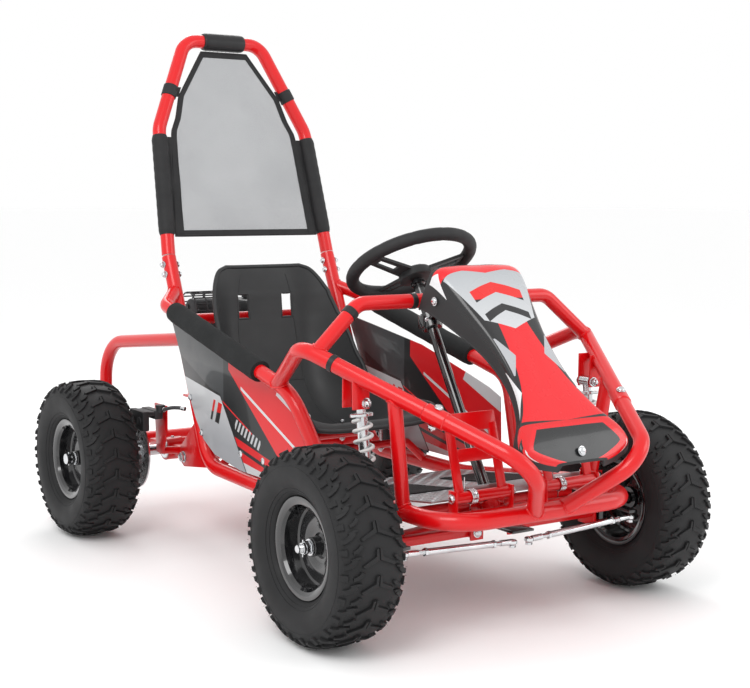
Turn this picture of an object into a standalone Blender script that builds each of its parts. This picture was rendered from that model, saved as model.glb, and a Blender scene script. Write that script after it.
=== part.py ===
"""A child's off-road kart: tube chassis, suspension, steering, seat, body panels, engine and wheels.

Metres, +Z up. The kart drives towards -Y and +X is the driver's left. The origin is on the
ground, under the middle of the kart.
"""

import math

import bmesh
import bpy
from mathutils import Matrix, Vector

# ---------------------------------------------------------------- driving dimensions
FRONT_AXLE_Y = -0.495
REAR_AXLE_Y = 0.495
FRONT_TRACK = 0.744
REAR_TRACK = 0.812
AXLE_Z = 0.180

TYRE_R = 0.180
TYRE_WIDTH = 0.138
TYRE_WALL = 0.007
TREAD_HALF = 0.046
BEAD_R = 0.0765
RIM_WALL = 0.003
FLANGE_R = 0.092
FLANGE_X = 0.044

FRAME_R = 0.015
HOOP_R = 0.0165
ROLL_R = 0.016
CROSS_R = 0.0125
GUARD_R = 0.0155
FRAME_HALF_WIDTH = 0.232
HOOP_HALF_WIDTH = 0.225
HOOP_FRONT_Y = -0.668
HOOP_Z = 0.230
FLOOR_RAIL_Z = 0.182
ROLL_TOP_Z = 1.160
ROLL_BASE_Z = 0.645
ROLL_HALF_WIDTH = 0.218
SHOULDER_Z = 0.945
GUARD_REAR_Y = 0.7610

COLUMN_TILT = math.radians(31)
COLUMN_R = 0.011
WHEEL_RIM_R = 0.125
WHEEL_GRIP_R = 0.0135
WHEEL_CENTRE = Vector((0, -0.2314, 0.657))

ARM_PIVOT_X = 0.045
ARM_PIVOT_Z = 0.165
KINGPIN_X = 0.290
SWING_PIVOT_Y = 0.365
SWING_PIVOT_Z = 0.183
AXLE_R = 0.0125
DISC_R = 0.085
SPROCKET_R = 0.062
SPROCKET_ROOM = 0.0230
MEMBER_Y = REAR_AXLE_Y - SPROCKET_R - SPROCKET_ROOM
REAR_MEMBER_Y = REAR_AXLE_Y + SPROCKET_R + SPROCKET_ROOM + 0.005
DRIVE_SPROCKET_R = 0.026
CHAIN_X = 0.118
DRIVE_SHAFT = Vector((CHAIN_X, 0.560, 0.365))
SHAFT_LENGTH = 0.046

EAR_Y = 0.0197
FRONT_PIN = Vector((0, 0.0135, 0))
REAR_PIN = Vector((0.0115, 0, 0))
STROKE = 0.026

PEDAL_Y = -0.605
PEDAL_Z = 0.260
PEDAL_X = 0.105
PEDAL_WIDTH = 0.116
PEDAL_HEIGHT = 0.150

GAP = 0.0003
RUNNING = 0.0008
BORE_SIDES = 16
SIDES = (1, -1)
SIDE_NAME = {1: "left", -1: "right"}

RED = ("red_powder_coat", (0.72, 0.012, 0.014), 0.25, 0.1)
BLACK_STEEL = ("black_gloss_steel", (0.012, 0.012, 0.013), 0.25, 0.4)
CHROME = ("bright_zinc", (0.62, 0.63, 0.65), 0.25, 1.0)
RUBBER = ("tyre_rubber", (0.020, 0.020, 0.021), 0.75, 0.0)
FOAM = ("foam_cover", (0.028, 0.029, 0.030), 0.8, 0.0)
PLASTIC = ("moulded_plastic", (0.022, 0.023, 0.024), 0.5, 0.0)
MESH_FABRIC = ("mesh_fabric", (0.42, 0.42, 0.42), 0.9, 0.0)
CLOTH = ("black_cloth", (0.018, 0.018, 0.019), 0.9, 0.0)
ALUMINIUM = ("chequer_plate", (0.50, 0.51, 0.52), 0.4, 1.0)
CAST = ("cast_engine", (0.05, 0.05, 0.052), 0.55, 0.6)
SPRING = ("grey_spring", (0.62, 0.62, 0.62), 0.4, 0.2)


# ---------------------------------------------------------------- modelling tools
def clear_scene():
    for thing in list(bpy.data.objects):
        bpy.data.objects.remove(thing, do_unlink=True)


def material(finish):
    name, colour, roughness, metallic = finish
    found = bpy.data.materials.get(name)
    if found:
        return found
    made = bpy.data.materials.new(name)
    made.use_nodes = True
    shader = made.node_tree.nodes["Principled BSDF"]
    shader.inputs["Base Color"].default_value = (*colour, 1)
    shader.inputs["Roughness"].default_value = roughness
    shader.inputs["Metallic"].default_value = metallic
    return made


def part(name, mesh, finish, origin=(0, 0, 0)):
    """A finished sub-part: its object's origin is on its joint's axis where it moves."""
    mesh.transform(Matrix.Translation(-Vector(origin)))
    mesh.shade_smooth()
    mesh.set_sharp_from_angle(angle=math.radians(35))
    mesh.materials.clear()
    mesh.materials.append(material(finish))
    made = bpy.data.objects.new(name, mesh)
    made.location = origin
    bpy.context.collection.objects.link(made)
    return made


def to_mesh(shape):
    bmesh.ops.remove_doubles(shape, verts=shape.verts, dist=1e-6)
    bmesh.ops.recalc_face_normals(shape, faces=shape.faces)
    mesh = bpy.data.meshes.new("shape")
    shape.to_mesh(mesh)
    shape.free()
    return mesh


def on_side(point, side):
    return Vector((point[0] * side, point[1], point[2]))


def rounded(points, radii, steps=4):
    """The corners of a bent tube's centre line, each turned into an arc."""
    points = [Vector(p) for p in points]
    path = [points[0]]
    for before, corner, after, radius in zip(points, points[1:], points[2:], radii):
        inward, outward = (before - corner).normalized(), (after - corner).normalized()
        half = inward.angle(outward) / 2
        reach = radius / math.tan(half)
        centre = corner + (inward + outward).normalized() * (radius / math.sin(half))
        start, end = corner + inward * reach, corner + outward * reach
        first, last = start - centre, end - centre
        sweep = first.angle(last)
        normal = first.cross(last).normalized()
        path += [centre + Matrix.Rotation(sweep * i / steps, 3, normal) @ first for i in range(steps + 1)]
    return path + [points[-1]]


def tube(path, radius, smooth=1):
    """A round bar along a path: a curve with a bevel and filled ends."""
    curve = bpy.data.curves.new("tube", "CURVE")
    curve.dimensions = "3D"
    curve.bevel_depth = radius
    curve.bevel_resolution = smooth + 1
    curve.use_fill_caps = True
    spline = curve.splines.new("POLY")
    spline.points.add(len(path) - 1)
    for point, place in zip(spline.points, path):
        point.co = (*place, 1)
    carrier = bpy.data.objects.new("tube", curve)
    bpy.context.collection.objects.link(carrier)
    mesh = bpy.data.meshes.new_from_object(carrier.evaluated_get(bpy.context.evaluated_depsgraph_get()))
    bpy.data.objects.remove(carrier)
    shape = bmesh.new()
    shape.from_mesh(mesh)
    return to_mesh(shape)


def rod(start, end, radius, smooth=1):
    return tube([Vector(start), Vector(end)], radius, smooth)


def bore(start, end, radius):
    """A cutter whose flats clear a round bar of this radius, long enough to pass right through."""
    start, end = Vector(start), Vector(end)
    reach = (end - start).normalized() * 0.010
    return rod(start - reach, end + reach, radius / math.cos(math.pi / BORE_SIDES), BORE_SIDES // 2 - 3)


def main_body(mesh):
    """The largest loose piece of a mesh; the slivers a cope leaves are dropped."""
    shape = bmesh.new()
    shape.from_mesh(mesh)
    left, bodies = set(shape.verts), []
    while left:
        queue = [left.pop()]
        body = set(queue)
        while queue:
            for edge in queue.pop().link_edges:
                for vert in edge.verts:
                    if vert not in body:
                        body.add(vert)
                        queue.append(vert)
        left -= body
        bodies.append(body)
    biggest = max(bodies, key=len)
    bmesh.ops.delete(shape, geom=[v for v in shape.verts if v not in biggest], context="VERTS")
    return to_mesh(shape)


def box(size, centre, turn=(0, 0, 0)):
    shape = bmesh.new()
    bmesh.ops.create_cube(shape, size=1)
    bmesh.ops.scale(shape, vec=size, verts=shape.verts)
    for axis, angle in zip("XYZ", turn):
        bmesh.ops.rotate(shape, matrix=Matrix.Rotation(angle, 3, axis), verts=shape.verts)
    bmesh.ops.translate(shape, vec=centre, verts=shape.verts)
    return to_mesh(shape)


def beam(start, end, width, height):
    """A rectangular bar between two points, its width level with the ground."""
    start, end = Vector(start), Vector(end)
    along = (end - start).normalized()
    across = along.cross(Vector((0, 0, 1))).normalized()
    frame = Matrix((along, across, across.cross(along) * -1)).transposed()
    shape = bmesh.new()
    bmesh.ops.create_cube(shape, size=1)
    bmesh.ops.scale(shape, vec=((end - start).length, width, height), verts=shape.verts)
    bmesh.ops.rotate(shape, matrix=frame, verts=shape.verts)
    bmesh.ops.translate(shape, vec=(start + end) / 2, verts=shape.verts)
    return to_mesh(shape)


def plate(outline, low_x, high_x):
    """A flat plate that stands along the kart: (y, z) corners, between two values of x."""
    shape = bmesh.new()
    face = shape.faces.new([shape.verts.new((low_x, y, z)) for y, z in outline])
    grown = bmesh.ops.extrude_face_region(shape, geom=[face])
    moved = [v for v in grown["geom"] if isinstance(v, bmesh.types.BMVert)]
    bmesh.ops.translate(shape, vec=(high_x - low_x, 0, 0), verts=moved)
    return to_mesh(shape)


def turned(profile, centre, axis="X", segments=24):
    """A closed (distance along the axis, radius) profile spun about an axis through centre."""
    shape = bmesh.new()
    ring = [shape.verts.new((along, 0, radius)) for along, radius in profile]
    edges = [shape.edges.new((a, b)) for a, b in zip(ring, ring[1:] + ring[:1])]
    bmesh.ops.spin(
        shape, geom=ring + edges, axis=(1, 0, 0), cent=(0, 0, 0),
        angle=math.tau, steps=segments, use_merge=True,
    )
    if axis == "Z":
        bmesh.ops.rotate(shape, matrix=Matrix.Rotation(-math.pi / 2, 3, "Y"), verts=shape.verts)
    bmesh.ops.translate(shape, vec=centre, verts=shape.verts)
    return to_mesh(shape)


def aimed(mesh, start, end):
    """Turn a shape made along Z from the origin so that it runs from start towards end."""
    turn = (Vector(end) - Vector(start)).to_track_quat("Z", "Y").to_matrix().to_4x4()
    mesh.transform(Matrix.Translation(start) @ turn)
    return mesh


def mirrored(mesh, side):
    if side > 0:
        return mesh
    mesh.transform(Matrix.Scale(-1, 4, (1, 0, 0)))
    mesh.flip_normals()
    return mesh


def combined(meshes, operation="UNION"):
    """One closed mesh: the first with each of the others welded on, or cut away."""
    if len(meshes) == 1:
        return meshes[0]
    carriers = []
    for mesh in meshes:
        carrier = bpy.data.objects.new("carrier", mesh)
        bpy.context.collection.objects.link(carrier)
        carriers.append(carrier)
    for other in carriers[1:]:
        boolean = carriers[0].modifiers.new("boolean", "BOOLEAN")
        boolean.operation = operation
        boolean.solver = "EXACT"
        boolean.object = other
    result = bpy.data.meshes.new_from_object(
        carriers[0].evaluated_get(bpy.context.evaluated_depsgraph_get())
    )
    for carrier in carriers:
        bpy.data.objects.remove(carrier)
    return result


def welded(*meshes):
    return combined(list(meshes))


def cut(mesh, *tools):
    return combined([mesh, *tools], "DIFFERENCE")


def along(start, end, share):
    return Vector(start).lerp(Vector(end), share)


# ---------------------------------------------------------------- the frame's centre lines
def upright_y(z):
    """The seat-back tubes lean back as they rise to the roll bar."""
    return 0.235 + (z - 0.185) * 0.4457


def roll_y(z):
    return upright_y(ROLL_BASE_Z) + (z - ROLL_BASE_Z) * 0.277


def floor_rail(side, end_x):
    corners = [
        (ROLL_HALF_WIDTH, upright_y(ROLL_BASE_Z - GAP), ROLL_BASE_Z - GAP),
        (ROLL_HALF_WIDTH + 0.002, upright_y(0.185), 0.185),
        (FRAME_HALF_WIDTH, -0.120, FLOOR_RAIL_Z),
        (HOOP_HALF_WIDTH, -0.470, HOOP_Z - 0.002),
        (HOOP_HALF_WIDTH, HOOP_FRONT_Y, HOOP_Z),
        (end_x, HOOP_FRONT_Y, HOOP_Z),
    ]
    return rounded([on_side(c, side) for c in corners], (0.075, 0.3, 0.3, 0.085))


def floor_z(y):
    """Height of the floor rails' centre line under the floor plate."""
    return FLOOR_RAIL_Z + (HOOP_Z - 0.002 - FLOOR_RAIL_Z) * (-0.120 - y) / 0.350


RAIL_START = Vector((ROLL_HALF_WIDTH, upright_y(0.569), 0.569))
RAIL_ELBOW = Vector((0.272, 0.345, 0.540))
RAIL_FRONT = Vector((0.272, -0.215, 0.408))
RAIL_FOOT = Vector((0.2285, -0.315, floor_z(-0.315)))
RISER_FOOT = along(RAIL_ELBOW, RAIL_FRONT, 0.902)
RISER_TOP = Vector((0.345, -0.368, 0.520))
NOSE_JOINT = Vector((0.2286, -0.598, 0.422))
NOSE_BEND = along(RISER_TOP, NOSE_JOINT, 1.835)
NOSE_FOOT = Vector((0.032, HOOP_FRONT_Y, HOOP_Z))
DASH_FOOT = along(RISER_TOP, NOSE_JOINT, 0.122)
DASH_CORNER = Vector((0.228, -0.382, 0.596))
POST_TOP = along(RISER_TOP, NOSE_JOINT, 0.76)
POST_FOOT = Vector((HOOP_HALF_WIDTH, -0.530, HOOP_Z))
GUARD_START = Vector((ROLL_HALF_WIDTH + 0.001, upright_y(0.459), 0.459))
GUARD_CORNER = Vector((0.240, GUARD_REAR_Y, 0.415))
GUARD_FOOT = Vector((0.240, GUARD_REAR_Y, 0.160))
SHOCK_TOP = Vector((0.275, -0.462, 0.425))
SHOCK_FOOT = Vector((0.270, -0.487, 0.238))
REAR_SHOCK_TOP = Vector((0, 0.412, 0.455))
REAR_SHOCK_FOOT = Vector((0, 0.440, 0.222))
SEAT_CROSS = Vector((0, 0.400, 0.500))
STEER_AXIS = Vector((0, math.sin(COLUMN_TILT), math.cos(COLUMN_TILT)))


def column_at(z):
    return WHEEL_CENTRE + STEER_AXIS * ((z - WHEEL_CENTRE.z) / STEER_AXIS.z)


PITMAN_Z = 0.178
COLUMN_FOOT = column_at(PITMAN_Z)
TIE_INNER = Vector((0.020, -0.592, 0.159))
TIE_OUTER = Vector((0.272, -0.600, 0.172))


def side_rail_path(side):
    corners = [RAIL_START, RAIL_ELBOW, RAIL_FRONT, RAIL_FOOT]
    return rounded([on_side(c, side) for c in corners], (0.035, 0.090))


def front_rail_path(side):
    corners = [RISER_FOOT, RISER_TOP, NOSE_JOINT]
    return rounded([on_side(c, side) for c in corners], (0.055,))


# ---------------------------------------------------------------- frame
def build_frame():
    """The floor loop: seat-back tubes, floor rails and front hoop, with everything welded under it."""
    inner_x = 0.0838
    pieces = []
    for side in SIDES:
        pieces.append(tube(floor_rail(side, inner_x), HOOP_R))
        lug = [
            (0.250, 0.176), (0.236, 0.215), (0.290, 0.290),
            (0.385, 0.203), (0.387, 0.172), (0.365, 0.160),
        ]
        lug_x = sorted((side * 0.2135, side * 0.2195))
        pieces.append(plate(lug, *lug_x))
        for lug_y in (-0.51615, -0.42385):
            pieces.append(box((0.030, 0.0047, 0.045), (side * ARM_PIVOT_X, lug_y, 0.1725)))
        pieces.append(box((0.030, 0.100, 0.013), (side * 0.045, -0.470, 0.1945)))
        for inner in (PEDAL_X - PEDAL_WIDTH / 2 - 0.006, PEDAL_X + PEDAL_WIDTH / 2 + 0.006):
            pieces.append(box((0.005, 0.024, 0.062), (side * inner, PEDAL_Y, PEDAL_Z - 0.017)))
    half = HOOP_HALF_WIDTH
    pieces.append(rod((-half, -0.470, 0.206), (half, -0.470, 0.206), 0.011))
    pieces.append(rod((-half, -0.170, 0.177), (half, -0.170, 0.177), 0.011))
    pieces.append(rod((-half, PEDAL_Y, 0.224), (half, PEDAL_Y, 0.224), 0.010))
    pieces.append(rod((-0.216, SEAT_CROSS.y, SEAT_CROSS.z), (0.216, SEAT_CROSS.y, SEAT_CROSS.z), CROSS_R))
    for seat_y in (0.020, 0.180):
        half_stay = [(0.170, seat_y, 0.236), (0.229, seat_y, 0.183)]
        corners = [on_side(c, -1) for c in reversed(half_stay)] + half_stay
        pieces.append(tube(rounded(corners, (0.02, 0.02), 2), 0.009))
    for side in SIDES:
        ear = SEAT_CROSS + Vector((side * 0.0155, 0.006, -0.036))
        pieces.append(box((0.005, 0.026, 0.055), ear))
    foot = column_at(0.206)
    pieces.append(beam((0, -0.470, 0.206), foot, 0.030, 0.012))
    pieces.append(rod(foot - STEER_AXIS * 0.010, foot + STEER_AXIS * 0.010, 0.018))
    bore = rod(foot - STEER_AXIS * 0.06, foot + STEER_AXIS * 0.06, COLUMN_R + RUNNING, 3)
    part("floor_frame", cut(welded(*pieces), bore), RED)

    for side in SIDES:
        floor = floor_rail(side, inner_x)
        rail = cut(tube(side_rail_path(side), FRAME_R), tube(floor, HOOP_R + GAP))
        part(f"side_rail_{SIDE_NAME[side]}", main_body(rail), RED)
        shock_eye = on_side(SHOCK_TOP, side)
        hung = shock_eye + Vector((side * 0.010, 0, 0.022))
        bracket = [box((0.036, 0.004, 0.066), hung + Vector((0, y, 0))) for y in (-0.0165, 0.0165)]
        post = rod(on_side(POST_TOP, side), on_side(POST_FOOT, side), 0.0135)
        front = welded(tube(front_rail_path(side), FRAME_R), post, *bracket)
        front = cut(front, tube(side_rail_path(side), FRAME_R + GAP), tube(floor, HOOP_R + GAP))
        part(f"front_rail_{SIDE_NAME[side]}", main_body(front), RED)

    dash = [on_side(DASH_FOOT, 1), on_side(DASH_CORNER, 1)]
    dash += [on_side(c, -1) for c in reversed(dash)]
    hoop = tube(rounded(dash, (0.045, 0.045)), FRAME_R - 0.001)
    part("dash_hoop", cut(hoop, *[tube(front_rail_path(s), FRAME_R + GAP) for s in SIDES]), RED)

    guard = [GUARD_START, GUARD_CORNER, GUARD_FOOT]
    corners = [on_side(c, 1) for c in guard] + [on_side(c, -1) for c in reversed(guard)]
    loop = tube(rounded(corners, (0.100, 0.070, 0.070, 0.100)), GUARD_R)
    part("rear_guard", cut(loop, *[tube(floor_rail(s, inner_x), HOOP_R + GAP) for s in SIDES]), RED)

    bar_x = inner_x - GAP
    nose = [rod((-bar_x, HOOP_FRONT_Y, HOOP_Z), (bar_x, HOOP_FRONT_Y, HOOP_Z), HOOP_R)]
    for side in SIDES:
        step = (NOSE_JOINT - RISER_TOP).normalized()
        start = NOSE_JOINT + step * GAP * 2
        path = rounded([on_side(c, side) for c in (start, NOSE_BEND, NOSE_FOOT)], (0.062,), 6)
        nose.append(tube(path, FRAME_R))
        lap = [on_side(start + step * reach, side) for reach in (0.001, 0.045)]
        nose.append(rod(*lap, FRAME_R + 0.002))
    part("front_bumper", welded(*nose), RED)


def roll_bar_path():
    corners = [
        (ROLL_HALF_WIDTH, roll_y(ROLL_BASE_Z + 0.0035), ROLL_BASE_Z + 0.0035),
        (ROLL_HALF_WIDTH - 0.017, roll_y(SHOULDER_Z), SHOULDER_Z),
        (0.102, roll_y(ROLL_TOP_Z), ROLL_TOP_Z),
    ]
    corners += [on_side(c, -1) for c in reversed(corners)]
    return rounded(corners, (0.08, 0.05, 0.05, 0.08))


def build_roll_bar():
    part("roll_bar", tube(roll_bar_path(), ROLL_R), RED)
    sleeve_low, sleeve_high = 0.695, 0.928
    leg_x = ROLL_HALF_WIDTH - 0.017 * (sleeve_low - ROLL_BASE_Z) / (SHOULDER_Z - ROLL_BASE_Z)
    leg_top_x = ROLL_HALF_WIDTH - 0.017 * (sleeve_high - ROLL_BASE_Z) / (SHOULDER_Z - ROLL_BASE_Z)
    sleeve_r = ROLL_R + 0.0035
    for side in SIDES:
        ends = [(leg_x, roll_y(sleeve_low), sleeve_low), (leg_top_x, roll_y(sleeve_high), sleeve_high)]
        low, high = (on_side(e, side) for e in ends)
        sleeve = cut(rod(low, high, sleeve_r), bore(low, high, ROLL_R + GAP))
        part(f"roll_bar_sleeve_{SIDE_NAME[side]}", sleeve, CLOTH)
    top_y = roll_y(ROLL_TOP_Z)
    ends = (-0.056, top_y, ROLL_TOP_Z), (0.056, top_y, ROLL_TOP_Z)
    part("roll_bar_top_pad", cut(rod(*ends, ROLL_R + 0.0055), bore(*ends, ROLL_R + GAP)), CLOTH)

    clear = sleeve_r + 0.001
    edge = [
        (leg_x - clear, sleeve_low),
        (leg_top_x - clear, sleeve_high),
        (0.152, 0.971),
        (0.118, 1.030),
        (0.054, ROLL_TOP_Z - ROLL_R - 0.007),
    ]
    outline = edge + [(-x, z) for x, z in reversed(edge)]
    shape = bmesh.new()
    face = shape.faces.new([shape.verts.new((x, roll_y(z) - 0.0015, z)) for x, z in outline])
    grown = bmesh.ops.extrude_face_region(shape, geom=[face])
    moved = [v for v in grown["geom"] if isinstance(v, bmesh.types.BMVert)]
    bmesh.ops.translate(shape, vec=(0, 0.003, 0), verts=moved)
    part("roll_bar_screen", to_mesh(shape), MESH_FABRIC)


def build_pads():
    """Foam tubes on the side rails, beside the driver's arms."""
    pad_r = 0.0235
    for side in SIDES:
        ends = [along(RAIL_ELBOW, RAIL_FRONT, share) for share in (0.085, 0.775)]
        outer = rod(on_side(ends[0], side), on_side(ends[1], side), pad_r)
        hole = bore(on_side(ends[0], side), on_side(ends[1], side), FRAME_R + GAP * 2)
        part(f"side_pad_{SIDE_NAME[side]}", cut(outer, hole), FOAM)


def build_floor():
    front_y, rear_y = -0.585, -0.125
    rise = 0.0135
    slope = [(rear_y, floor_z(rear_y) + rise - 0.0055), (front_y, floor_z(-0.47) + rise + 0.010)]
    sheet = plate(slope + [(y, z + 0.003) for y, z in reversed(slope)], -0.203, 0.203)
    foot = column_at(0.225)
    hole = box((0.064, 0.070, 0.08), foot)
    part("floor_plate", cut(sheet, hole), ALUMINIUM)


def build_seat():
    """A moulded bucket: a profile from lip to headrest whose sides curl up into bolsters."""
    profile = [
        # y, z, half width, bolster height
        (-0.105, 0.300, 0.150, 0.012), (-0.085, 0.312, 0.165, 0.024), (0.000, 0.290, 0.175, 0.044),
        (0.100, 0.266, 0.180, 0.066), (0.190, 0.262, 0.180, 0.090), (0.268, 0.292, 0.178, 0.110),
        (0.320, 0.350, 0.175, 0.112), (0.350, 0.430, 0.172, 0.092), (0.366, 0.500, 0.165, 0.062),
        (0.374, 0.560, 0.152, 0.036), (0.381, 0.605, 0.128, 0.014), (0.384, 0.620, 0.100, 0.004),
    ]
    across = (-1, -0.93, -0.80, -0.62, -0.30, 0, 0.30, 0.62, 0.80, 0.93, 1)
    shape = bmesh.new()
    rows = []
    for i, (y, z, half, rise) in enumerate(profile):
        before, after = profile[max(i - 1, 0)], profile[min(i + 1, len(profile) - 1)]
        run = Vector((0, after[0] - before[0], after[1] - before[1])).normalized()
        inward = Vector((0, -run.z, run.y))
        row = []
        for share in across:
            curl = max(0.0, (abs(share) - 0.5) / 0.5) ** 2 * rise
            row.append(shape.verts.new(Vector((share * half, y, z)) + inward * curl))
        rows.append(row)
    for low, high in zip(rows, rows[1:]):
        for a, b, c, d in zip(low, low[1:], high[1:], high):
            shape.faces.new((a, b, c, d))
    mesh = to_mesh(shape)
    carrier = bpy.data.objects.new("carrier", mesh)
    bpy.context.collection.objects.link(carrier)
    shell = carrier.modifiers.new("shell", "SOLIDIFY")
    shell.thickness = 0.004
    shell.offset = 0
    shell.use_even_offset = True
    solid = bpy.data.meshes.new_from_object(carrier.evaluated_get(bpy.context.evaluated_depsgraph_get()))
    bpy.data.objects.remove(carrier)
    slots = [box((0.030, 0.08, 0.058), (side * 0.059, 0.374, 0.527)) for side in SIDES]
    part("seat", cut(solid, *slots), PLASTIC)


def build_body_panels():
    outline = [
        (0.376, 0.497), (0.334, 0.425), (0.300, 0.350), (0.262, 0.292), (0.222, 0.248), (0.170, 0.222),
        (0.054, 0.206), (-0.135, 0.206), (-0.236, 0.240), (-0.231, 0.365), (-0.190, 0.382), (-0.120, 0.402),
        (0.060, 0.450),
    ]
    for side in SIDES:
        low, high = sorted((side * 0.2385, side * 0.2415))
        floor, rail = tube(floor_rail(side, 0.0838), HOOP_R + GAP), tube(side_rail_path(side), FRAME_R + GAP)
        part(f"side_panel_{SIDE_NAME[side]}", cut(plate(outline, low, high), floor, rail), PLASTIC)

    stations = [
        # y, z, half width, depth of the turned-down side
        (-0.425, 0.651, 0.094, 0.074), (-0.440, 0.664, 0.098, 0.086), (-0.470, 0.652, 0.096, 0.082),
        (-0.520, 0.600, 0.080, 0.060), (-0.580, 0.538, 0.064, 0.040), (-0.640, 0.476, 0.064, 0.028),
        (-0.690, 0.425, 0.084, 0.024), (-0.725, 0.388, 0.116, 0.024), (-0.742, 0.364, 0.120, 0.020),
        (-0.752, 0.346, 0.086, 0.016), (-0.757, 0.336, 0.050, 0.014),
    ]
    shape = bmesh.new()
    rows = []
    down = Vector((0, 0.35, -0.94))
    spine = [(0, 0), (0.5, 0), (0.94, 0.08), (1.03, 0.45), (1.06, 1.0)]
    spine = [(-x, d) for x, d in reversed(spine[1:])] + spine
    for y, z, half, drop in stations:
        rows.append([shape.verts.new(Vector((x * half, y, z)) + down * drop * d) for x, d in spine])
    for low, high in zip(rows, rows[1:]):
        for a, b, c, d in zip(low, low[1:], high[1:], high):
            shape.faces.new((a, b, c, d))
    carrier = bpy.data.objects.new("carrier", to_mesh(shape))
    bpy.context.collection.objects.link(carrier)
    shell = carrier.modifiers.new("shell", "SOLIDIFY")
    shell.thickness = 0.003
    shell.offset = 0
    shell.use_even_offset = True
    solid = bpy.data.meshes.new_from_object(carrier.evaluated_get(bpy.context.evaluated_depsgraph_get()))
    bpy.data.objects.remove(carrier)
    part("nose_fairing", solid, PLASTIC)


# ---------------------------------------------------------------- steering
def build_steering():
    hub = WHEEL_CENTRE - STEER_AXIS * 0.026
    angles = [math.tau * i / 8 for i in range(8)]
    ring = [(WHEEL_GRIP_R * math.sin(a), WHEEL_RIM_R + WHEEL_GRIP_R * math.cos(a)) for a in angles]
    rim = aimed(turned(ring, (0, 0, 0), "Z", 28), WHEEL_CENTRE, WHEEL_CENTRE + STEER_AXIS)
    level = Vector((0, math.cos(COLUMN_TILT), -math.sin(COLUMN_TILT)))
    spokes = []
    sideways = Vector((0.97, 0, 0))
    for direction in (sideways - level * 0.24, -sideways - level * 0.24, level):
        outer = WHEEL_CENTRE + direction * WHEEL_RIM_R
        across = direction.cross(STEER_AXIS)
        shape = bmesh.new()
        corners = [hub + across * 0.020, hub - across * 0.020]
        corners += [outer - across * 0.014, outer + across * 0.014]
        face = shape.faces.new([shape.verts.new(c - STEER_AXIS * 0.003) for c in corners])
        grown = bmesh.ops.extrude_face_region(shape, geom=[face])
        moved = [v for v in grown["geom"] if isinstance(v, bmesh.types.BMVert)]
        bmesh.ops.translate(shape, vec=STEER_AXIS * 0.006, verts=moved)
        spokes.append(to_mesh(shape))
    boss = rod(hub - STEER_AXIS * 0.010, hub + STEER_AXIS * 0.012, 0.034, 3)
    part("steering_wheel", welded(rim, boss, *spokes), PLASTIC, WHEEL_CENTRE)

    shaft = rod(COLUMN_FOOT, hub - STEER_AXIS * (0.010 + GAP), COLUMN_R, 3)
    tip = Vector((0, TIE_INNER.y - 0.008, PITMAN_Z))
    pitman = beam((0, COLUMN_FOOT.y + 0.016, PITMAN_Z), tip, 0.052, 0.005)
    part("steering_column", welded(shaft, pitman), BLACK_STEEL, WHEEL_CENTRE)

    bearing = column_at(0.545)
    clamp = Vector((0, DASH_CORNER.y, DASH_CORNER.z))
    block = rod(bearing - STEER_AXIS * 0.016, bearing + STEER_AXIS * 0.016, 0.020)
    arm = beam(clamp, bearing, 0.026, 0.006)
    bore = rod(bearing - STEER_AXIS * 0.1, bearing + STEER_AXIS * 0.1, COLUMN_R + RUNNING, 3)
    hoop = rod(on_side(DASH_CORNER, 1), on_side(DASH_CORNER, -1), FRAME_R - 0.001 + GAP * 2)
    part("column_bracket", cut(welded(block, arm), bore, hoop), BLACK_STEEL)


def build_front_suspension():
    for side in SIDES:
        name = SIDE_NAME[side]
        pivot = Vector((side * ARM_PIVOT_X, 0, ARM_PIVOT_Z))
        kingpin = Vector((side * KINGPIN_X, FRONT_AXLE_Y, AXLE_Z))
        root_x = side * (KINGPIN_X - 0.033)
        bush = rod((pivot.x, -0.513, ARM_PIVOT_Z), (pivot.x, -0.427, ARM_PIVOT_Z), 0.012)
        legs = [
            beam((pivot.x, y, ARM_PIVOT_Z), (root_x, FRONT_AXLE_Y + dy, ARM_PIVOT_Z), 0.020, 0.018)
            for y, dy in ((-0.502, -0.006), (-0.438, 0.010))
        ]
        back = box((0.007, 0.042, 0.082), (root_x, FRONT_AXLE_Y, AXLE_Z))
        lug_x = side * (KINGPIN_X - 0.010)
        lug_y = FRONT_AXLE_Y + 0.0055
        lugs = [box((0.052, 0.043, 0.006), (lug_x, lug_y, AXLE_Z + z)) for z in (-0.038, 0.038)]
        eye = on_side(SHOCK_FOOT, side)
        ears = [box((0.022, 0.004, 0.034), (eye.x, eye.y + y, eye.z - 0.006)) for y in (-EAR_Y, EAR_Y)]
        part(f"front_arm_{name}", welded(bush, *legs, back, *lugs, *ears), RED, pivot)

        barrel = rod(kingpin - Vector((0, 0, 0.0340)), kingpin + Vector((0, 0, 0.0340)), 0.013)
        stub = rod(kingpin, (side * (FRONT_TRACK / 2 + FLANGE_X + 0.012), FRONT_AXLE_Y, AXLE_Z), 0.010)
        lever_tip = on_side(TIE_OUTER, side) + Vector((0, -0.008, 0.0118))
        lever = beam(kingpin + Vector((side * -0.002, 0, lever_tip.z - AXLE_Z)), lever_tip, 0.020, 0.007)
        part(f"knuckle_{name}", welded(barrel, stub, lever), BLACK_STEEL, kingpin)

        inner, outer = on_side(TIE_INNER, side), on_side(TIE_OUTER, side)
        ends = [rod(p - Vector((0, 0, 0.006)), p + Vector((0, 0, 0.006)), 0.0095) for p in (inner, outer)]
        part(f"tie_rod_{name}", welded(rod(inner, outer, 0.0065), *ends), CHROME)

        build_shock(f"front_shock_{name}", on_side(SHOCK_TOP, side), eye, 0.0195, FRONT_PIN)


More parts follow.
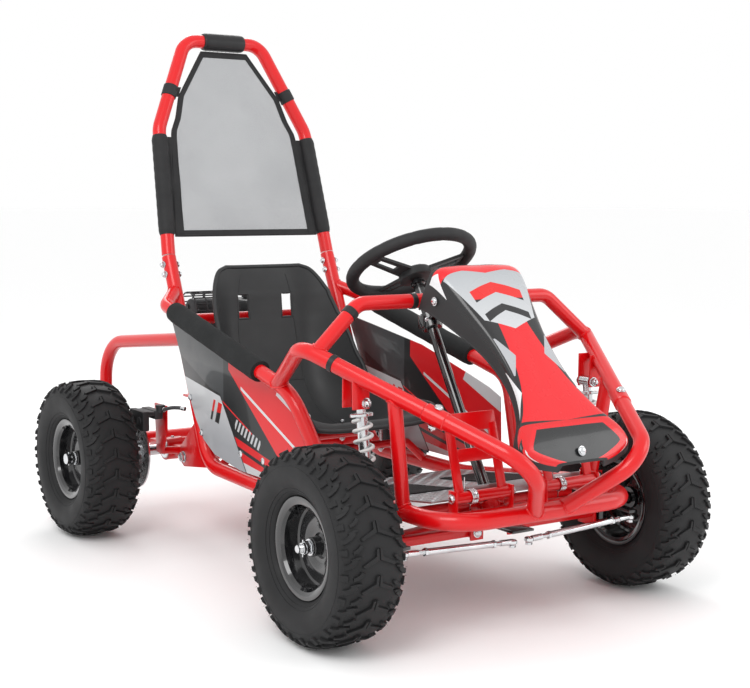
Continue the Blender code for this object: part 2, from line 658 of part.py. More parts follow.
def build_shock(name, top, foot, coil_r, pin):
    """Upper eye, bored damper body and spring seat; lower eye, rod and seat; and the spring."""
    length = (foot - top).length
    step = (foot - top) / length
    body_end = top + step * 0.56 * length
    rod_r, body_r, eye_r = 0.005, 0.0105, 0.0114
    seat_low, seat_high = 0.027, 0.022
    upper = welded(
        rod(top - pin, top + pin, eye_r),
        rod(top + step * 0.004, body_end, body_r),
        rod(top + step * seat_high, top + step * seat_low, coil_r + 0.002),
    )
    socket = rod(body_end - step * (STROKE * 2 - 0.006), body_end + step * STROKE, rod_r + RUNNING, 2)
    part(f"{name}_body", cut(upper, socket), CHROME, top)
    lower = welded(
        rod(foot - pin, foot + pin, eye_r),
        rod(body_end - step * STROKE, foot, rod_r),
        rod(foot - step * seat_low, foot - step * seat_high, coil_r + 0.002),
    )
    part(f"{name}_rod", lower, CHROME, foot)
    start, end = top + step * (seat_low + GAP), foot - step * (seat_low + GAP)
    reach = step * 0.01
    sleeve = cut(rod(start, end, coil_r), rod(start - reach, end + reach, 0.0155))
    part(f"{name}_spring", sleeve, SPRING, top)


# ---------------------------------------------------------------- wheels
def tyre_profile():
    half = TYRE_WIDTH / 2
    outer = [
        (TREAD_HALF * 0.5, TYRE_R), (TREAD_HALF, TYRE_R - 0.002), (half - 0.006, TYRE_R - 0.013),
        (half, TYRE_R - 0.034), (half - 0.002, 0.122), (half - 0.014, 0.102), (FLANGE_X - 0.0008, 0.0938),
        (FLANGE_X - 0.0008, BEAD_R), (FLANGE_X - 0.012, BEAD_R), (FLANGE_X - 0.010, 0.098),
        (half - TYRE_WALL - 0.003, 0.124), (half - TYRE_WALL, TYRE_R - 0.036),
        (TREAD_HALF, TYRE_R - TYRE_WALL - 0.004),
    ]
    return outer + [(-x, r) for x, r in reversed(outer)]


def rim_profile(hub_r):
    barrel = BEAD_R - GAP * 2
    inside = barrel - RIM_WALL
    x = FLANGE_X
    return [
        (x + RIM_WALL, FLANGE_R), (x, FLANGE_R), (x, barrel),
        (-x, barrel), (-x, FLANGE_R), (-x - RIM_WALL, FLANGE_R),
        (-x - RIM_WALL, inside), (0.004, inside), (0.010, 0.050), (-0.004, 0.030), (-0.004, hub_r),
        (0.026, hub_r), (0.026, 0.026), (0.014, 0.032), (0.014, 0.053), (0.010, inside),
        (x + RIM_WALL, inside),
    ]


def build_wheel(name, centre, hub_r):
    side = 1 if centre.x > 0 else -1
    middle = (abs(centre.x), centre.y, centre.z)
    tyre, rim = turned(tyre_profile(), middle, "X", 28), turned(rim_profile(hub_r), middle, "X", 24)
    part(f"tyre_{name}", mirrored(tyre, side), RUBBER, centre)
    part(f"rim_{name}", mirrored(rim, side), BLACK_STEEL, centre)


# ---------------------------------------------------------------- rear end
def build_rear():
    axle = Vector((0, REAR_AXLE_Y, AXLE_Z))
    pivot = Vector((0, SWING_PIVOT_Y, SWING_PIVOT_Z))
    pieces = [rod((-0.2130, pivot.y, pivot.z), (0.2130, pivot.y, pivot.z), 0.014)]
    arm_x = 0.185
    for side in SIDES:
        arm = side * arm_x
        pieces.append(beam((arm, pivot.y, pivot.z), (arm, 0.600, 0.175), 0.024, 0.028))
        housing = Vector((0.022, 0, 0))
        bearing = Vector((arm, axle.y, axle.z))
        pieces.append(rod(bearing - housing, bearing + housing, 0.027))
        pieces.append(box((0.030, 0.004, 0.110), (side * 0.045, REAR_MEMBER_Y, 0.230)))
        ear_top = (side * 0.0165, REAR_SHOCK_FOOT.y, REAR_SHOCK_FOOT.z)
        pieces.append(beam((side * 0.0165, MEMBER_Y, 0.181), ear_top, 0.004, 0.022))
    pieces.append(rod((-arm_x, REAR_MEMBER_Y, 0.176), (arm_x, REAR_MEMBER_Y, 0.176), 0.011))
    pieces.append(rod((-arm_x, MEMBER_Y, 0.181), (arm_x, MEMBER_Y, 0.181), 0.010))
    deck = [(0.488, 0.280), (0.640, 0.280), (0.640, 0.286), (0.488, 0.286)]
    pieces.append(plate(deck, -0.085, 0.085))
    for side in SIDES:
        pieces.append(beam((side * 0.060, MEMBER_Y, 0.186), (side * 0.060, 0.492, 0.281), 0.024, 0.006))
    holder = [(0.420, 0.184), (0.452, 0.184), (0.462, 0.300), (0.400, 0.300), (0.400, 0.240)]
    pieces.append(plate(holder, -0.248, -0.243))
    pieces.append(rod((-arm_x, 0.436, 0.184), (-0.2455, 0.436, 0.190), 0.009))
    bore = rod((-0.3, axle.y, axle.z), (0.3, axle.y, axle.z), AXLE_R + RUNNING, 3)
    part("swing_arm", cut(welded(*pieces), bore), RED, pivot)

    half = REAR_TRACK / 2 + FLANGE_X + 0.008
    part("rear_axle", rod((-half, axle.y, axle.z), (half, axle.y, axle.z), AXLE_R, 3), CHROME, axle)

    bored = AXLE_R + GAP
    disc = [
        (-0.002, DISC_R), (-0.002, 0.034), (-0.014, 0.034), (-0.014, bored),
        (0.014, bored), (0.014, 0.026), (0.002, 0.026), (0.002, DISC_R),
    ]
    part("brake_disc", turned(disc, (-0.285, axle.y, axle.z), "X", 28), CHROME, axle)
    tooth_count = 18
    sprocket = [
        (-0.002, SPROCKET_R), (-0.002, 0.030), (-0.012, 0.030),
        (-0.012, bored), (0.002, bored), (0.002, SPROCKET_R),
    ]
    sprocket = turned(sprocket, (CHAIN_X, axle.y, axle.z), "X", tooth_count)
    part("axle_sprocket", sprocket, BLACK_STEEL, axle)
    half_drum = Vector((0.008, 0, 0))
    drive = rod(DRIVE_SHAFT - half_drum, DRIVE_SHAFT + half_drum, DRIVE_SPROCKET_R, 3)
    shaft = rod(DRIVE_SHAFT - Vector((SHAFT_LENGTH, 0, 0)), DRIVE_SHAFT, 0.009)
    part("drive_clutch", welded(drive, shaft), CAST)
    part("chain", chain_loop(axle), CHROME)

    pad_gap = 0.004
    caliper = box((0.052, 0.074, 0.046), (-0.2830, 0.432, 0.268))
    slot = box((0.004 + pad_gap * 2, 0.2, 0.07), (-0.285, axle.y, 0.243))
    around_holder = box((0.0056, 0.2, 0.2), (-0.2455, 0.45, 0.25))
    reservoir = rod((-0.262, 0.400, 0.286), (-0.262, 0.400, 0.304), 0.010)
    caliper = cut(welded(caliper, reservoir), slot, around_holder)
    part("brake_caliper", caliper, BLACK_STEEL)

    route = [
        (-0.262, 0.3885, 0.292), (-0.262, 0.370, 0.298), (-0.258, 0.345, 0.304),
        (-0.250, 0.322, 0.306), (-0.244, 0.308, 0.305),
    ]
    part("brake_hose", tube(route, 0.0045), RUBBER)
    build_shock("rear_shock", REAR_SHOCK_TOP, REAR_SHOCK_FOOT, 0.024, REAR_PIN)


def chain_loop(axle):
    """A closed band round both sprockets, as wide as the chain's links."""
    def band(extra, half):
        spread = DRIVE_SHAFT - Vector((CHAIN_X, axle.y, axle.z))
        heading = math.atan2(spread.z, spread.y)
        big, small = SPROCKET_R + extra, DRIVE_SPROCKET_R + extra
        lean = math.acos((big - small) / spread.length)
        outline = []
        for centre, radius, first, last in (
            ((axle.y, axle.z), big, heading + lean, heading + math.tau - lean),
            ((DRIVE_SHAFT.y, DRIVE_SHAFT.z), small, heading - lean, heading + lean),
        ):
            steps = 10 if radius == big else 6
            for i in range(steps + 1):
                angle = first + (last - first) * i / steps
                y, z = centre
                outline.append((y + radius * math.cos(angle), z + radius * math.sin(angle)))
        return plate(outline, CHAIN_X - half, CHAIN_X + half)
    return cut(band(0.008, 0.006), band(0.0012, 0.02))


def build_engine():
    """A small air-cooled engine on the swing arm's deck, with its tank, starter, muffler and guard."""
    case = box((0.120, 0.120, 0.074), (0, 0.562, 0.3240))
    barrel_r, fin_r, plug_r = 0.033, 0.046, 0.008
    profile = [(0, plug_r), (0, barrel_r)]
    for i in range(5):
        low, high = 0.016 + 0.014 * i, 0.020 + 0.014 * i
        profile += [(low, barrel_r), (low, fin_r), (high, fin_r), (high, barrel_r)]
    profile += [(0.084, barrel_r), (0.084, plug_r)]
    barrel = turned(profile, (-0.012, 0.562, 0.352), "Z", 14)
    nose_x = DRIVE_SHAFT.x - SHAFT_LENGTH - GAP
    nose = rod((0.052, DRIVE_SHAFT.y, DRIVE_SHAFT.z), (nose_x, DRIVE_SHAFT.y, DRIVE_SHAFT.z), 0.030)
    part("engine_block", welded(case, barrel, nose), CAST)
    rings = [
        (0, 0.064), (0.010, 0.064), (0.013, 0.058), (0.018, 0.058),
        (0.022, 0.046), (0.028, 0.042), (0.030, 0.016), (0, 0.016),
    ]
    starter = turned(rings, (0.0605, 0.562, 0.350), "X", 20)
    part("recoil_starter", mirrored(starter, -1), PLASTIC)
    tank = box((0.066, 0.116, 0.078), (0.062, 0.562, 0.490))
    cap = rod((0.062, 0.562, 0.528), (0.062, 0.562, 0.543), 0.018)
    part("fuel_tank", welded(tank, cap), PLASTIC)
    can = rod((-0.104, 0.560, 0.504), (0.010, 0.560, 0.504), 0.030, 2)
    pipe = rod((-0.036, 0.560, 0.4370), (-0.036, 0.560, 0.500), 0.010)
    guard = [(-0.110, 0.048), (0.012, 0.048), (0.012, 0.045), (-0.110, 0.045)]
    cage = turned(guard, (0, 0.560, 0.504), "X", 16)
    cage = cut(cage, box((0.3, 0.2, 0.12), (-0.05, 0.560, 0.424)))
    ribs = [box((0.004, 0.092, 0.006), (x, 0.560, 0.508)) for x in (-0.100, 0.002)]
    part("muffler", welded(can, pipe, cage, *ribs), CAST)


def build_pedals():
    for side, name in ((1, "brake_pedal"), (-1, "throttle_pedal")):
        pivot = Vector((side * PEDAL_X, PEDAL_Y, PEDAL_Z))
        lean = Vector((0, 0.285, 0.958))
        half = PEDAL_WIDTH / 2
        tube_half = Vector((half + 0.003, 0, 0))
        pieces = [rod(pivot - tube_half, pivot + tube_half, 0.0105)]
        for reach in (-1, 1):
            foot = pivot + Vector((reach * (half - 0.009), 0, 0))
            pieces.append(beam(foot, foot + lean * (PEDAL_HEIGHT - 0.02), 0.018, 0.006))
        for share, height, thick in ((0.90, 0.034, 0.005), (0.50, 0.024, 0.005)):
            spot = pivot + lean * PEDAL_HEIGHT * share
            pieces.append(box((PEDAL_WIDTH, thick, height), spot, (-math.atan2(lean.y, lean.z), 0, 0)))
        part(name, welded(*pieces), RED, pivot)


clear_scene()
build_frame()
build_roll_bar()
build_pads()
build_floor()
build_seat()
build_body_panels()
build_steering()
build_front_suspension()
for wheel_side in SIDES:
    front_hub = Vector((wheel_side * FRONT_TRACK / 2, FRONT_AXLE_Y, AXLE_Z))
    rear_hub = Vector((wheel_side * REAR_TRACK / 2, REAR_AXLE_Y, AXLE_Z))
    build_wheel(f"front_{SIDE_NAME[wheel_side]}", front_hub, 0.0108)
    build_wheel(f"rear_{SIDE_NAME[wheel_side]}", rear_hub, AXLE_R + GAP)
build_rear()
build_engine()
build_pedals()
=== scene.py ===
"""A child's off-road kart in metres, +Z up: it drives towards -Y and +X is the driver's left."""

import math
import random

import bmesh
import bpy
from mathutils import Matrix, Vector


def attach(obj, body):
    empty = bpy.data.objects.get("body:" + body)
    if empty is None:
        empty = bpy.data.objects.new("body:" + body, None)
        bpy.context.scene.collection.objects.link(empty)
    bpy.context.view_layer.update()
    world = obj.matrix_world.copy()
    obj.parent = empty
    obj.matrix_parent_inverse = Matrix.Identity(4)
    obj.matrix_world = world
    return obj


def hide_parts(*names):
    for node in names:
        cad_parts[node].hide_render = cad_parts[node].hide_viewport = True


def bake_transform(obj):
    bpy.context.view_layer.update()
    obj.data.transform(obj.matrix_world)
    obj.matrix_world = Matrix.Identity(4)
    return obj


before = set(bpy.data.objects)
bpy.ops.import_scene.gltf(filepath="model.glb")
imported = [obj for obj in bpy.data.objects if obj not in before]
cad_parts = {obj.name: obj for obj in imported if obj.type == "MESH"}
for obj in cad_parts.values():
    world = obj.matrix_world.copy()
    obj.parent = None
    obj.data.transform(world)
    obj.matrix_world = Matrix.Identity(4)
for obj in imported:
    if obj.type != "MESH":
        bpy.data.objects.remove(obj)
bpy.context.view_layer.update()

# ---------------------------------------------------------------------------
# The studio: a camera at standing height, a pale floor and three soft lamps.
scene = bpy.context.scene
scene.view_settings.view_transform = "Standard"
lens = bpy.data.cameras.new("camera")
lens.lens = 68.54
lens.sensor_width = 36
camera = bpy.data.objects.new("camera", lens)
scene.collection.objects.link(camera)
scene.camera = camera
azimuth, elevation, roll = math.radians(34.07), math.radians(6.35), math.radians(0.494)
ahead = Vector((
    math.sin(azimuth) * math.cos(elevation),
    math.cos(azimuth) * math.cos(elevation),
    -math.sin(elevation),
))
level_right = Vector((math.cos(azimuth), -math.sin(azimuth), 0))
level_up = level_right.cross(ahead)
right = level_right * math.cos(roll) + level_up * math.sin(roll)
up = level_up * math.cos(roll) - level_right * math.sin(roll)
camera.matrix_world = Matrix.Translation((-1.6885, -2.598, 0.8157)) @ Matrix((right, up,
    -ahead)).transposed().to_4x4()

world = bpy.data.worlds.new("studio")
scene.world = world
world.use_nodes = True
world.node_tree.nodes["Background"].inputs["Color"].default_value = (1, 1, 1, 1)
world.node_tree.nodes["Background"].inputs["Strength"].default_value = 1.0

for name, place, size, power in (
    ("key", (-2.2, -1.6, 2.6), 1.6, 42),
    ("fill", (2.6, -2.4, 1.8), 1.8, 20),
    ("rim", (0.8, 2.8, 2.4), 1.6, 26),
):
    lamp = bpy.data.lights.new(name, "AREA")
    lamp.size = size
    lamp.energy = power
    holder = bpy.data.objects.new(name, lamp)
    holder.location = place
    holder.rotation_euler = (Vector((0, 0, 0.4)) - Vector(place)).to_track_quat("-Z", "Y").to_euler()
    scene.collection.objects.link(holder)


class Socket:
    """One output among a material's nodes, which Python's own arithmetic works on."""

    def __init__(self, finish, output):
        self.finish = finish
        self.output = output

    def math(self, operation, *values):
        return self.finish.node("Math", {"operation": operation}, dict(enumerate(values)))

    def __add__(self, other):
        return self.math("ADD", self, other)

    def __radd__(self, other):
        return self.math("ADD", other, self)

    def __sub__(self, other):
        return self.math("SUBTRACT", self, other)

    def __rsub__(self, other):
        return self.math("SUBTRACT", other, self)

    def __mul__(self, other):
        return self.math("MULTIPLY", self, other)

    def __rmul__(self, other):
        return self.math("MULTIPLY", other, self)

    def __truediv__(self, other):
        return self.math("DIVIDE", self, other)

    def __pow__(self, other):
        return self.math("POWER", self, other)

    def __gt__(self, other):
        return self.math("GREATER_THAN", self, other)

    def __lt__(self, other):
        return self.math("LESS_THAN", self, other)

    def __abs__(self):
        return self.math("ABSOLUTE", self)

    def sine(self):
        return self.math("SINE", self)

    def fraction(self):
        return self.math("FRACT", self)

    def least(self, other):
        return self.math("MINIMUM", self, other)

    def most(self, other):
        return self.math("MAXIMUM", self, other)


class Finish:
    """A material: one Principled shader, and any nodes that vary it over the surface."""

    def __init__(self, name, colour, roughness, metallic=0.0, **fixed):
        self.material = bpy.data.materials.new(name)
        self.material.use_nodes = True
        self.tree = self.material.node_tree
        self.shader = self.tree.nodes["Principled BSDF"]
        self.colour = colour
        values = {"Base Color": colour, "Roughness": roughness, "Metallic": metallic}
        values.update({key.replace("_", " "): value for key, value in fixed.items()})
        self.give(values)

    def plug(self, value, socket):
        if isinstance(value, Socket):
            self.tree.links.new(value.output, socket)
        elif hasattr(value, "__len__") and len(value) == 3 and socket.type == "RGBA":
            socket.default_value = (*value, 1)
        else:
            socket.default_value = value

    def give(self, values):
        for key, value in values.items():
            self.plug(value, self.shader.inputs[key])
        return self

    def node(self, kind, settings=(), sockets=(), output=0):
        made = self.tree.nodes.new("ShaderNode" + kind)
        for key, value in dict(settings).items():
            setattr(made, key, value)
        for key, value in dict(sockets).items():
            self.plug(value, made.inputs[key])
        return Socket(self, made.outputs[output])

    def place(self, *stretch):
        """Where on the piece, in metres from the frame's own origin, or stretched along each axis."""
        spot = self.node("TexCoord", output="Object")
        if stretch:
            spot = self.node("VectorMath", {"operation": "MULTIPLY"}, {0: spot, 1: stretch})
        return spot

    def axes(self, spot=None):
        """The three numbers of a place."""
        spot = spot or self.place()
        return [self.node("SeparateXYZ", sockets={0: spot}, output=i) for i in range(3)]

    def noise(self, scale, detail=2.0, spot=None, roughness=0.5):
        sockets = {"Vector": spot or self.place(), "Scale": scale, "Detail": detail, "Roughness": roughness}
        return self.node("TexNoise", sockets=sockets)

    def mixed(self, share, low, high):
        """Between two colours."""
        return self.node("Mix", {"data_type": "RGBA"}, {0: share, 6: low, 7: high}, output=2)

    def bump(self, height, depth, strength=1.0):
        sockets = {"Height": height, "Distance": depth, "Strength": strength}
        return self.give({"Normal": self.node("Bump", sockets=sockets)})


def finished(name, shape, body, slot, *finishes, replaces=(), sharp=32):
    """Closes a piece: merges its doubles, turns its faces out, smooths it and hangs it on its body."""
    bmesh.ops.remove_doubles(shape, verts=shape.verts, dist=2e-6)
    bmesh.ops.recalc_face_normals(shape, faces=shape.faces)
    mesh = bpy.data.meshes.new(name)
    shape.to_mesh(mesh)
    shape.free()
    for finish in finishes:
        mesh.materials.append(finish.material)
    mesh.shade_smooth()
    mesh.set_sharp_from_angle(angle=math.radians(sharp))
    piece = bpy.data.objects.new(name, mesh)
    scene.collection.objects.link(piece)
    if body:
        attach(piece, body)
    if replaces:
        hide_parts(*replaces)
    return piece


floor_paint = Finish("floor_paint", (0.99, 0.99, 0.99), 0.9, Specular_IOR_Level=0.1)
floor_paint.give({"Roughness": 0.7 + floor_paint.noise(3.0) * 0.1})
shape = bmesh.new()
bmesh.ops.create_grid(shape, x_segments=1, y_segments=1, size=40)
finished("studio_floor", shape, None, None, floor_paint)

# ---------------------------------------------------------------------------
# Floor loop: one steel tube on each side runs from the seat's back down under the floor and round
# the front hoop. The tubes are bent cold, MIG welded and powder coated in glossy red.
red = Finish("red_powder_coat", (0.70, 0.004, 0.008), 0.3, Coat_Weight=0.35, Coat_Roughness=0.05,
    Specular_IOR_Level=0.35)
red.give({"Roughness": 0.26 + red.noise(9.0, 3.0) * 0.12})
red.give({"Base Color": red.mixed(red.noise(2.5), (0.60, 0.0015, 0.003), (0.72, 0.002, 0.005))})
red.bump(red.noise(420, 1.0), 0.00012, 0.18)

FRAME_R, HOOP_R, ROLL_R, GUARD_R = 0.015, 0.0165, 0.016, 0.0155
SIDES = {"left": 1, "right": -1}


def on_side(point, side):
    return Vector((point[0] * side, point[1], point[2]))


def along(start, end, share):
    return Vector(start).lerp(Vector(end), share)


def bent(corners, radii, steps=10):
    """A bent tube's centre line: straight runs with an arc at each corner."""
    corners = [Vector(c) for c in corners]
    path = [corners[0]]
    for before, corner, after, radius in zip(corners, corners[1:], corners[2:], radii):
        inward, outward = (before - corner).normalized(), (after - corner).normalized()
        half = inward.angle(outward) / 2
        centre = corner + (inward + outward).normalized() * (radius / math.sin(half))
        first = corner + inward * (radius / math.tan(half)) - centre
        last = corner + outward * (radius / math.tan(half)) - centre
        axis, sweep = first.cross(last).normalized(), first.angle(last)
        path += [centre + Matrix.Rotation(sweep * i / steps, 3, axis) @ first for i in range(steps + 1)]
    return path + [corners[-1]]


def sweep(shape, path, radius, sides=28, closed=False, paint=0):
    """A ring drawn along a path, as a tube is. radius is one number, or one for each point."""
    path = [Vector(p) for p in path]
    radii = radius if isinstance(radius, list) else [radius] * len(path)
    count = len(path)
    turn = None
    rings = []
    for i, (place, size) in enumerate(zip(path, radii)):
        before = path[i - 1] if i or closed else place
        after = path[(i + 1) % count] if i + 1 < count or closed else place
        heading = (after - before).normalized()
        if turn is None:
            turn = heading.to_track_quat("Z", "Y")
        else:
            turn = (turn @ Vector((0, 0, 1))).rotation_difference(heading) @ turn
        ring = bmesh.ops.create_circle(shape, segments=sides, radius=size)["verts"]
        bmesh.ops.transform(shape, matrix=Matrix.Translation(place) @ turn.to_matrix().to_4x4(), verts=ring)
        rings.append(ring)
    if closed:
        rings.append(rings[0])
    loops = [[e for e in {e for v in ring for e in v.link_edges}] for ring in rings]
    made = []
    for low, high in zip(loops, loops[1:]):
        made += bmesh.ops.bridge_loops(shape, edges=low + high)["faces"]
    if not closed:
        made += [shape.faces.new(rings[0]), shape.faces.new(rings[-1])]
    for face in made:
        face.material_index = paint
    return rings


def rod(shape, start, end, radius, sides=28, paint=0):
    """A straight round bar."""
    return sweep(shape, [start, end], radius, sides, paint=paint)


def weld(shape, start, heading, radius, main_point, main_heading, main_radius, bead=0.0024):
    """A rippled bead where a tube of this radius runs into a main tube."""
    start, heading = Vector(start), Vector(heading).normalized()
    main_point, main_heading = Vector(main_point), Vector(main_heading).normalized()
    side = heading.orthogonal().normalized()
    line, thickness = [], []
    steps = 64
    for i in range(steps):
        spoke = Matrix.Rotation(math.tau * i / steps, 3, heading) @ side
        spot = start + spoke * radius
        offset = spot - main_point
        flat = heading - main_heading * heading.dot(main_heading)
        gap = offset - main_heading * offset.dot(main_heading)
        a, b, c = flat.dot(flat), 2 * gap.dot(flat), gap.dot(gap) - main_radius**2
        inside = b * b - 4 * a * c
        if inside < 0:
            continue
        line.append(spot + heading * ((-b - math.sqrt(inside)) / (2 * a)))
        thickness.append(bead * (1 + 0.16 * math.sin(i * 2.1)))
    if len(line) > 8:
        sweep(shape, line, thickness, 8, closed=len(line) == steps)


def upright_y(z):
    return 0.235 + (z - 0.185) * 0.4457


def roll_y(z):
    return upright_y(0.645) + (z - 0.645) * 0.277


def floor_z(y):
    return 0.182 + 0.046 * (-0.120 - y) / 0.350


def floor_rail(side):
    corners = [
        (0.218, upright_y(0.6447), 0.6447), (0.220, upright_y(0.185), 0.185), (0.232, -0.120, 0.182),
        (0.225, -0.470, 0.228), (0.225, -0.668, 0.230), (0.0838, -0.668, 0.230),
    ]
    return bent([on_side(c, side) for c in corners], (0.075, 0.3, 0.3, 0.085))


SEAT_CROSS = Vector((0, 0.400, 0.500))
WHEEL_CENTRE = Vector((0, -0.2314, 0.657))
STEER_AXIS = Vector((0, math.sin(math.radians(31)), math.cos(math.radians(31))))


def column_at(z):
    return WHEEL_CENTRE + STEER_AXIS * ((z - WHEEL_CENTRE.z) / STEER_AXIS.z)


def slab(shape, outline, low_x, high_x, bevel=0.0006, paint=0):
    """A flat steel plate standing along the kart, cut to (y, z) corners, its edges dressed."""
    corners = [shape.verts.new((low_x, y, z)) for y, z in outline]
    face = shape.faces.new(corners)
    grown = bmesh.ops.extrude_face_region(shape, geom=[face])["geom"]
    moved = [v for v in grown if isinstance(v, bmesh.types.BMVert)]
    bmesh.ops.translate(shape, vec=(high_x - low_x, 0, 0), verts=moved)
    edges = list({e for v in corners + moved for e in v.link_edges})
    made = bmesh.ops.bevel(
        shape, geom=edges, offset=bevel, segments=2, affect="EDGES", profile=0.5, material=-1
    )["faces"]
    faces = {f for v in shape.verts if v.is_valid and v in set(corners + moved) for f in v.link_faces}
    for part in set(made) | faces:
        part.material_index = paint
    return made


def block(shape, size, centre, turn=None, bevel=0.001, paint=0):
    """A squared bar or plate with eased edges."""
    verts = bmesh.ops.create_cube(shape, size=1)["verts"]
    bmesh.ops.scale(shape, vec=size, verts=verts)
    edges = list({e for v in verts for e in v.link_edges})
    made = bmesh.ops.bevel(
        shape, geom=edges, offset=bevel, segments=2, affect="EDGES", profile=0.5, material=-1
    )
    faces = set(made["faces"])
    verts = set(made["verts"])
    for face in list(faces):
        for edge in face.edges:
            faces.update(edge.link_faces)
    for face in faces:
        verts.update(face.verts)
        face.material_index = paint
    if turn:
        bmesh.ops.transform(shape, matrix=turn.to_4x4(), verts=list(verts))
    bmesh.ops.translate(shape, vec=centre, verts=list(verts))
    return list(verts)


def bar(shape, start, end, width, height, bevel=0.001, paint=0):
    """A squared bar between two points, its width level."""
    start, end = Vector(start), Vector(end)
    heading = (end - start).normalized()
    across = heading.cross(Vector((0, 0, 1))).normalized()
    turn = Matrix((heading, across, -across.cross(heading))).transposed()
    return block(shape, ((end - start).length, width, height), (start + end) / 2, turn, bevel, paint)


shape = bmesh.new()
for side in (1, -1):
    sweep(shape, floor_rail(side), HOOP_R)
    lug = [(0.250, 0.176), (0.236, 0.215), (0.290, 0.290), (0.385, 0.203), (0.387, 0.172), (0.365, 0.160)]
    slab(shape, lug, *sorted((side * 0.2135, side * 0.2195)))
    for y in (-0.5162, -0.4238):
        block(shape, (0.030, 0.0047, 0.045), (side * 0.045, y, 0.1725))
    block(shape, (0.030, 0.100, 0.013), (side * 0.045, -0.470, 0.1945))
    for x in (0.105 - 0.064, 0.105 + 0.064):
        block(shape, (0.005, 0.024, 0.062), (side * x, -0.605, 0.243))
    block(shape, (0.005, 0.026, 0.055), (side * 0.0155, SEAT_CROSS.y + 0.006, SEAT_CROSS.z - 0.036))
for y, z, radius in ((-0.470, 0.206, 0.011), (-0.170, 0.177, 0.011), (-0.605, 0.224, 0.010)):
    rod(shape, (-0.225, y, z), (0.225, y, z), radius)
    for side in (1, -1):
        weld(shape, (0, y, z), (side, 0, 0), radius, (side * 0.226, y, floor_z(y) if y > -0.5 else 0.23), (0,
            1, 0), HOOP_R)
rod(shape, (-0.216, SEAT_CROSS.y, SEAT_CROSS.z), (0.216, SEAT_CROSS.y, SEAT_CROSS.z), 0.0125)
for side in (1, -1):
    weld(shape, SEAT_CROSS, (side, 0, 0), 0.0125, (side * 0.218, upright_y(0.5), 0.5), (0, 0.4457, 1), HOOP_R)
for seat_y in (0.020, 0.180):
    corners = [(-0.229, seat_y, 0.183), (-0.170, seat_y, 0.236), (0.170, seat_y, 0.236), (0.229, seat_y,
        0.183)]
    sweep(shape, bent(corners, (0.02, 0.02)), 0.009)
collar = column_at(0.206)
bar(shape, (0, -0.470, 0.206), collar + Vector((0, 0.012, 0)), 0.030, 0.012)
lowest, highest = collar - STEER_AXIS * 0.010, collar + STEER_AXIS * 0.010
rings = sweep(shape, [lowest, highest, highest, lowest], [0.018, 0.018, 0.0125, 0.0125], closed=True)
finished("floor_loop", shape, "chassis", "red_powder_coat", red, replaces=["floor_frame"])

# ---------------------------------------------------------------------------
# Side rails: a bent tube on each side from the seat's back to the floor, welded at both ends,
# with the front rails, posts and shock hangers carried on them.
RAIL_START = Vector((0.218, upright_y(0.569), 0.569))
RAIL_ELBOW = Vector((0.272, 0.345, 0.540))
RAIL_FRONT = Vector((0.272, -0.215, 0.408))
RAIL_FOOT = Vector((0.2285, -0.315, floor_z(-0.315)))
RISER_FOOT = along(RAIL_ELBOW, RAIL_FRONT, 0.902)
RISER_TOP = Vector((0.345, -0.368, 0.520))
NOSE_JOINT = Vector((0.2286, -0.598, 0.422))
NOSE_BEND = along(RISER_TOP, NOSE_JOINT, 1.835)
NOSE_FOOT = Vector((0.032, -0.668, 0.230))
POST_TOP = along(RISER_TOP, NOSE_JOINT, 0.76)
POST_FOOT = Vector((0.225, -0.530, 0.230))
SHOCK_TOP = Vector((0.275, -0.462, 0.425))
SHOCK_FOOT = Vector((0.270, -0.487, 0.238))

for name, side in SIDES.items():
    shape = bmesh.new()
    corners = [on_side(c, side) for c in (RAIL_START, RAIL_ELBOW, RAIL_FRONT, RAIL_FOOT)]
    sweep(shape, bent(corners, (0.035, 0.090)), FRAME_R)
    weld(shape, corners[2], corners[3] - corners[2], FRAME_R, corners[3], (0, 0.991, -0.13), HOOP_R)
    weld(shape, corners[1], corners[0] - corners[1], FRAME_R, corners[0], (0, 0.4457, 1), HOOP_R)
    finished(f"side_tube_{name}", shape, "chassis", "red_powder_coat", red, replaces=[f"side_rail_{name}"])

    shape = bmesh.new()
    corners = [on_side(c, side) for c in (RISER_FOOT, RISER_TOP, NOSE_JOINT)]
    sweep(shape, bent(corners, (0.055,)), FRAME_R)
    weld(shape, corners[1], corners[0] - corners[1], FRAME_R, corners[0], (0, 0.973, 0.229), FRAME_R)
    top, foot = on_side(POST_TOP, side), on_side(POST_FOOT, side)
    rod(shape, top, foot, 0.0135)
    weld(shape, top, foot - top, 0.0135, foot, (0, 1, 0), HOOP_R)
    weld(shape, foot, top - foot, 0.0135, top, corners[2] - corners[1], FRAME_R)
    eye = on_side(SHOCK_TOP, side)
    for y in (-0.0165, 0.0165):
        block(shape, (0.036, 0.004, 0.066), eye + Vector((side * 0.010, y, 0.022)), bevel=0.0012)
    finished(f"front_tube_{name}", shape, "chassis", "red_powder_coat", red, replaces=[f"front_rail_{name}"])

shape = bmesh.new()
DASH_FOOT = along(RISER_TOP, NOSE_JOINT, 0.122)
DASH_CORNER = Vector((0.228, -0.382, 0.596))
dash = [on_side(DASH_FOOT, 1), on_side(DASH_CORNER, 1), on_side(DASH_CORNER, -1), on_side(DASH_FOOT, -1)]
sweep(shape, bent(dash, (0.045, 0.045)), FRAME_R - 0.001)
for side in (1, -1):
    rail = on_side(NOSE_JOINT, side) - on_side(RISER_TOP, side)
    corner, foot = on_side(DASH_CORNER, side), on_side(DASH_FOOT, side)
    weld(shape, corner, foot - corner, FRAME_R - 0.001, foot, rail, FRAME_R)
finished("dash_tube", shape, "chassis", "red_powder_coat", red, replaces=["dash_hoop"])

